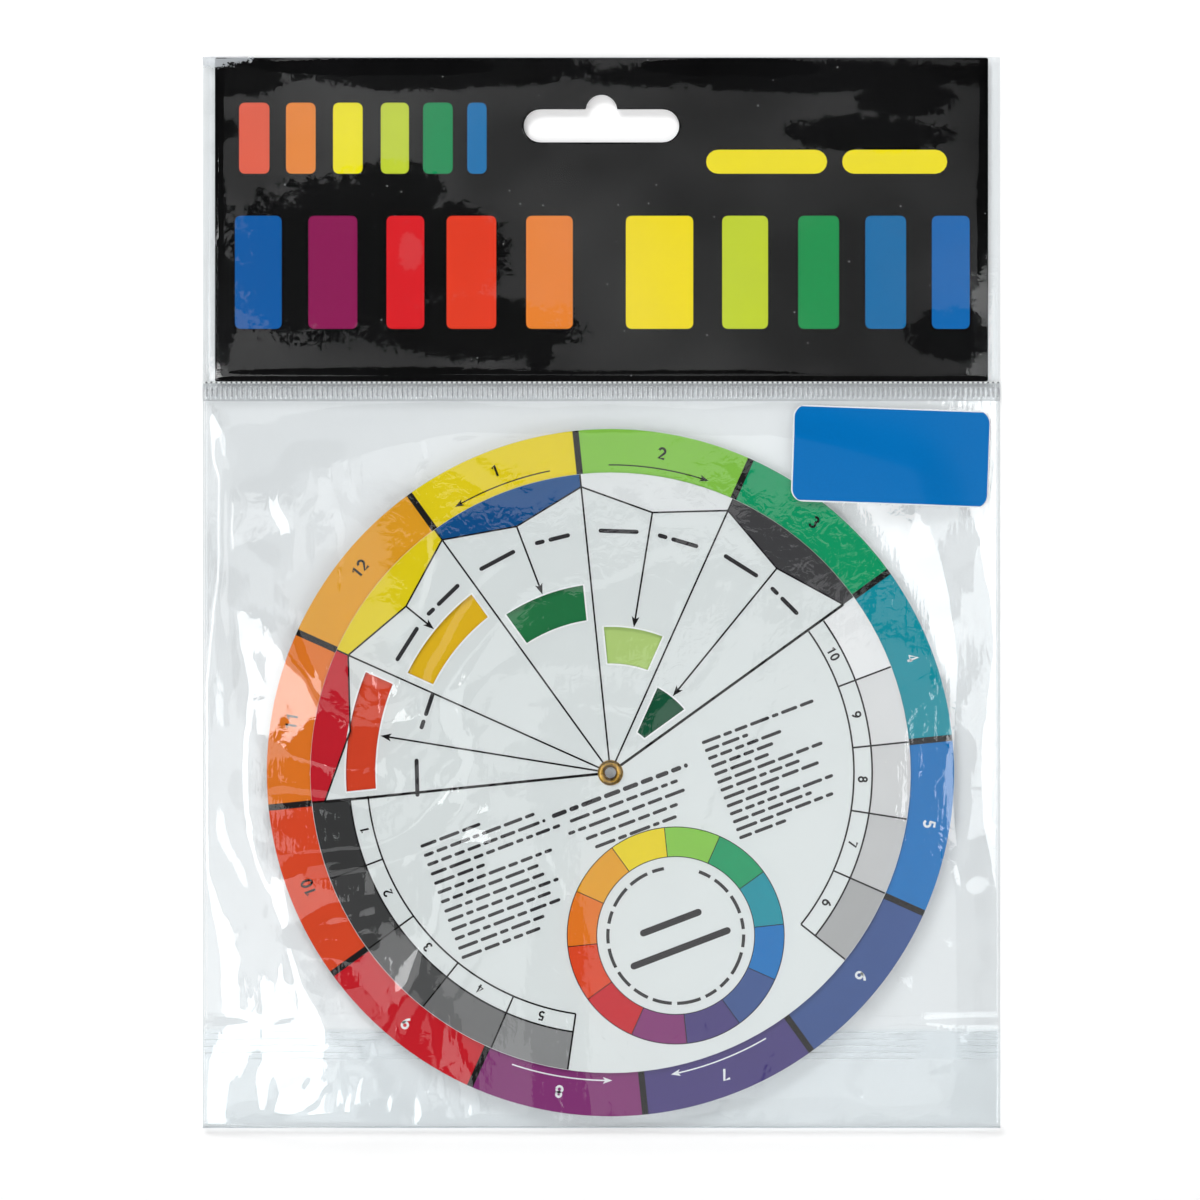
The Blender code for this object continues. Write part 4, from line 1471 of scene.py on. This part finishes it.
def makeSticker():
    # rows across a rounded rectangle; the last steps at each side are the bare paper rim
    width, height, corner, rim, thick, lift = stickerShape.values()
    bend = corner * (1 - np.cos(np.linspace(0, math.pi / 2, 9)))
    straight = np.linspace(corner, height - corner, 60)
    rows = np.concatenate([[0, rim], bend, straight, height - bend, [height - rim]])
    rows = np.unique(np.round(rows, 7))
    fromEnd = np.minimum(rows, height - rows)
    inset = corner - np.sqrt(np.maximum(corner**2 - np.maximum(corner - fromEnd, 0) ** 2, 0))
    half = width / 2 - inset
    edge = 2 * rim / width
    across = np.concatenate([[-1, -1 + edge], np.linspace(-1, 1, 120)[1:-1], [1 - edge, 1]])
    u = half[:, None] * across[None, :]
    v = (rows - height / 2)[:, None]
    turn = math.radians(turns["label"])
    x = labelMiddle[0] + u * math.cos(turn) - v * math.sin(turn)
    y = labelMiddle[1] + u * math.sin(turn) + v * math.cos(turn)
    z = frontLevel(x, y) + sizes["film"] + lift
    rowOf = np.repeat(np.arange(len(rows) - 1), len(across) - 1)
    columnOf = np.tile(np.arange(len(across) - 1), len(rows) - 1)
    # the faces of the rim
    low = rows[rowOf] < rim * 0.9
    high = rows[rowOf] >= height - rim * 1.1
    side = (columnOf == 0) | (columnOf == len(across) - 2)
    ink = np.where((low | high | side)[:, None], tones["stickerRim"], tones["sticker"])
    made = sheetPiece("blueSticker", x, y, z, "sticker", "bag", "label", thick, ink=ink)
    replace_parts(made, "label")


makeSticker()
print("stage: sticker")


# Finishes of the solids that stay

solidFinishes = {
    "base_disc": "wheelCard",
    "front_dial": "wheelCard",
    "back_dial": "wheelCard",
    "header_card": "blackBoard",
    "adhesive_strip": "tape",
}
for node, finish in solidFinishes.items():
    mesh = frame["nodes"][node].data
    mesh.materials.clear()
    mesh.materials.append(finishes[finish])


# Studio

studio = {
    "floor": 3.0,
    "floorLevel": -0.8 * mm,
    "cameraHeight": 1.0,
    "aim": (-0.285 * mm, -1.42 * mm),
    "seen": 227.76 * mm,
    "sensor": 36,
    "nearest": 0.01,
    "zenith": 0.02,
    "horizon": 0.22,
    "seenSky": 1.0,
    "floorTone": 0.97,
    # the glow of the floor that only the camera sees: its base, its growth away from a place,
    # and the painted pool of light that it adds behind the pack
    "glow": 0.02,
    "glowPlace": (0.14, -0.2),
    "glowGrowth": 2.5,
    "glowStart": 0.03,
    "paintedPoolBehind": 0.18,
    "behindReach": 110 * mm,
    "behindLow": -101.4 * mm,
    # each lamp's place, width, height and radiance, and whether mirrors show it
    "lamps": {
        "leftBox": ((-0.46, -0.12, 1.15), 0.55, 0.32, 3.2, True),
        "leftWall": ((-0.36, -0.13, 1.2), 0.45, 0.44, 0.98, True),
        "sideWall": ((-0.9, -0.2, 1.0), 0.75, 0.6, 0.65, True),
        "nearBox": ((0.14, -0.2, 0.3), 0.26, 0.26, 2.2, False),
        "rightWall": ((0.31, 0.015, 1.1), 0.22, 0.32, 2.8, True),
        "topBox": ((-0.45, 1.05, 0.95), 0.7, 0.55, 8.3, False),
        "greyPanel": ((0.0, 0.165, 1.3), 0.42, 0.26, 0.6, True),
        "highPanel": ((0.09, -0.16, 1.6), 0.28, 0.26, 0.5, True),
    },
}


def softBox(name, place, width, height, radiance, mirrored):
    # an area lamp's power is four times its radiance and area
    lamp = bpy.data.lights.new(name, "AREA")
    lamp.shape = "RECTANGLE"
    lamp.size = width
    lamp.size_y = height
    lamp.energy = radiance * 4 * width * height
    holder = putInScene(name, lamp)
    holder.location = place
    # it faces the middle of the pack
    x, y, z = place
    holder.rotation_euler = (math.atan2(math.hypot(x, y), z), 0, math.atan2(x, -y))
    holder.visible_camera = False
    holder.visible_glossy = mirrored


for name, lamp in studio["lamps"].items():
    softBox(name, *lamp)


def makeFloor():
    half = studio["floor"] / 2
    level = studio["floorLevel"]
    points = [(-half, -half, level), (half, -half, level), (half, half, level), (-half, half, level)]
    mesh = bpy.data.meshes.new("floor")
    mesh.from_pydata(points, [], [(0, 1, 2, 3)])
    desk = Desk("paleFloor")
    lightPath = desk.node("ShaderNodeLightPath")
    diffuse = desk.diffuse((studio["floorTone"],) * 3)
    # the floor seen by the camera stays white where the near lamp's light thins out
    x, y, z = desk.objectPlace().parts()
    x0, y0 = studio["glowPlace"]
    thinning = (x - x0) * (x - x0) + (y - y0) * (y - y0) - studio["glowStart"]
    # and a painted pool of light: the floor behind the pack glows lighter towards the lower right, seen
    # through the film
    towards = desk.ramp((x - y) * (1 / studio["behindReach"]) + 1.0, (0.0, 0.0), (1.0, 1.0))
    behind = towards * (y - studio["behindLow"]).above(0.0)
    strength = studio["glow"] + studio["glowGrowth"] * thinning + studio["paintedPoolBehind"] * behind
    glow = desk.node("ShaderNodeEmission", None, {"Color": (1, 1, 1), "Strength": lightPath * strength})
    mesh.materials.append(desk.close(desk.node("ShaderNodeAddShader", None, {0: diffuse, 1: glow})))
    putInScene("floor", mesh)


def makeWorld():
    # dim overhead and bright towards the horizon, and white where the camera sees it
    desk = Desk("studio", bpy.data.worlds)
    height = desk.node("ShaderNodeTexCoord").parts()[2]
    limits = {"From Min": 0.0, "From Max": 1.0, "To Min": studio["horizon"], "To Max": studio["zenith"]}
    level = desk.node("ShaderNodeMapRange", None, {"Value": height, **limits})
    cameraRay = desk.node("ShaderNodeLightPath")
    strength = desk.node("ShaderNodeMix", None, {0: cameraRay, 2: level, 3: studio["seenSky"]})
    sky = desk.node("ShaderNodeBackground", None, {"Strength": strength})
    bpy.context.scene.world = desk.close(sky, "ShaderNodeOutputWorld")


def makeCamera():
    # straight down, the pack's top towards the top of the picture
    lens = bpy.data.cameras.new("camera")
    lens.sensor_width = studio["sensor"]
    lens.lens = studio["sensor"] * studio["cameraHeight"] / studio["seen"]
    lens.clip_start = studio["nearest"]
    holder = putInScene("camera", lens)
    holder.location = (*studio["aim"], studio["cameraHeight"])
    bpy.context.scene.camera = holder


makeFloor()
makeWorld()
makeCamera()
bpy.context.scene.view_settings.view_transform = "Standard"
# light crosses up to eight film faces each way
bpy.context.scene.cycles.transparent_max_bounces = 32
print("stage: studio")
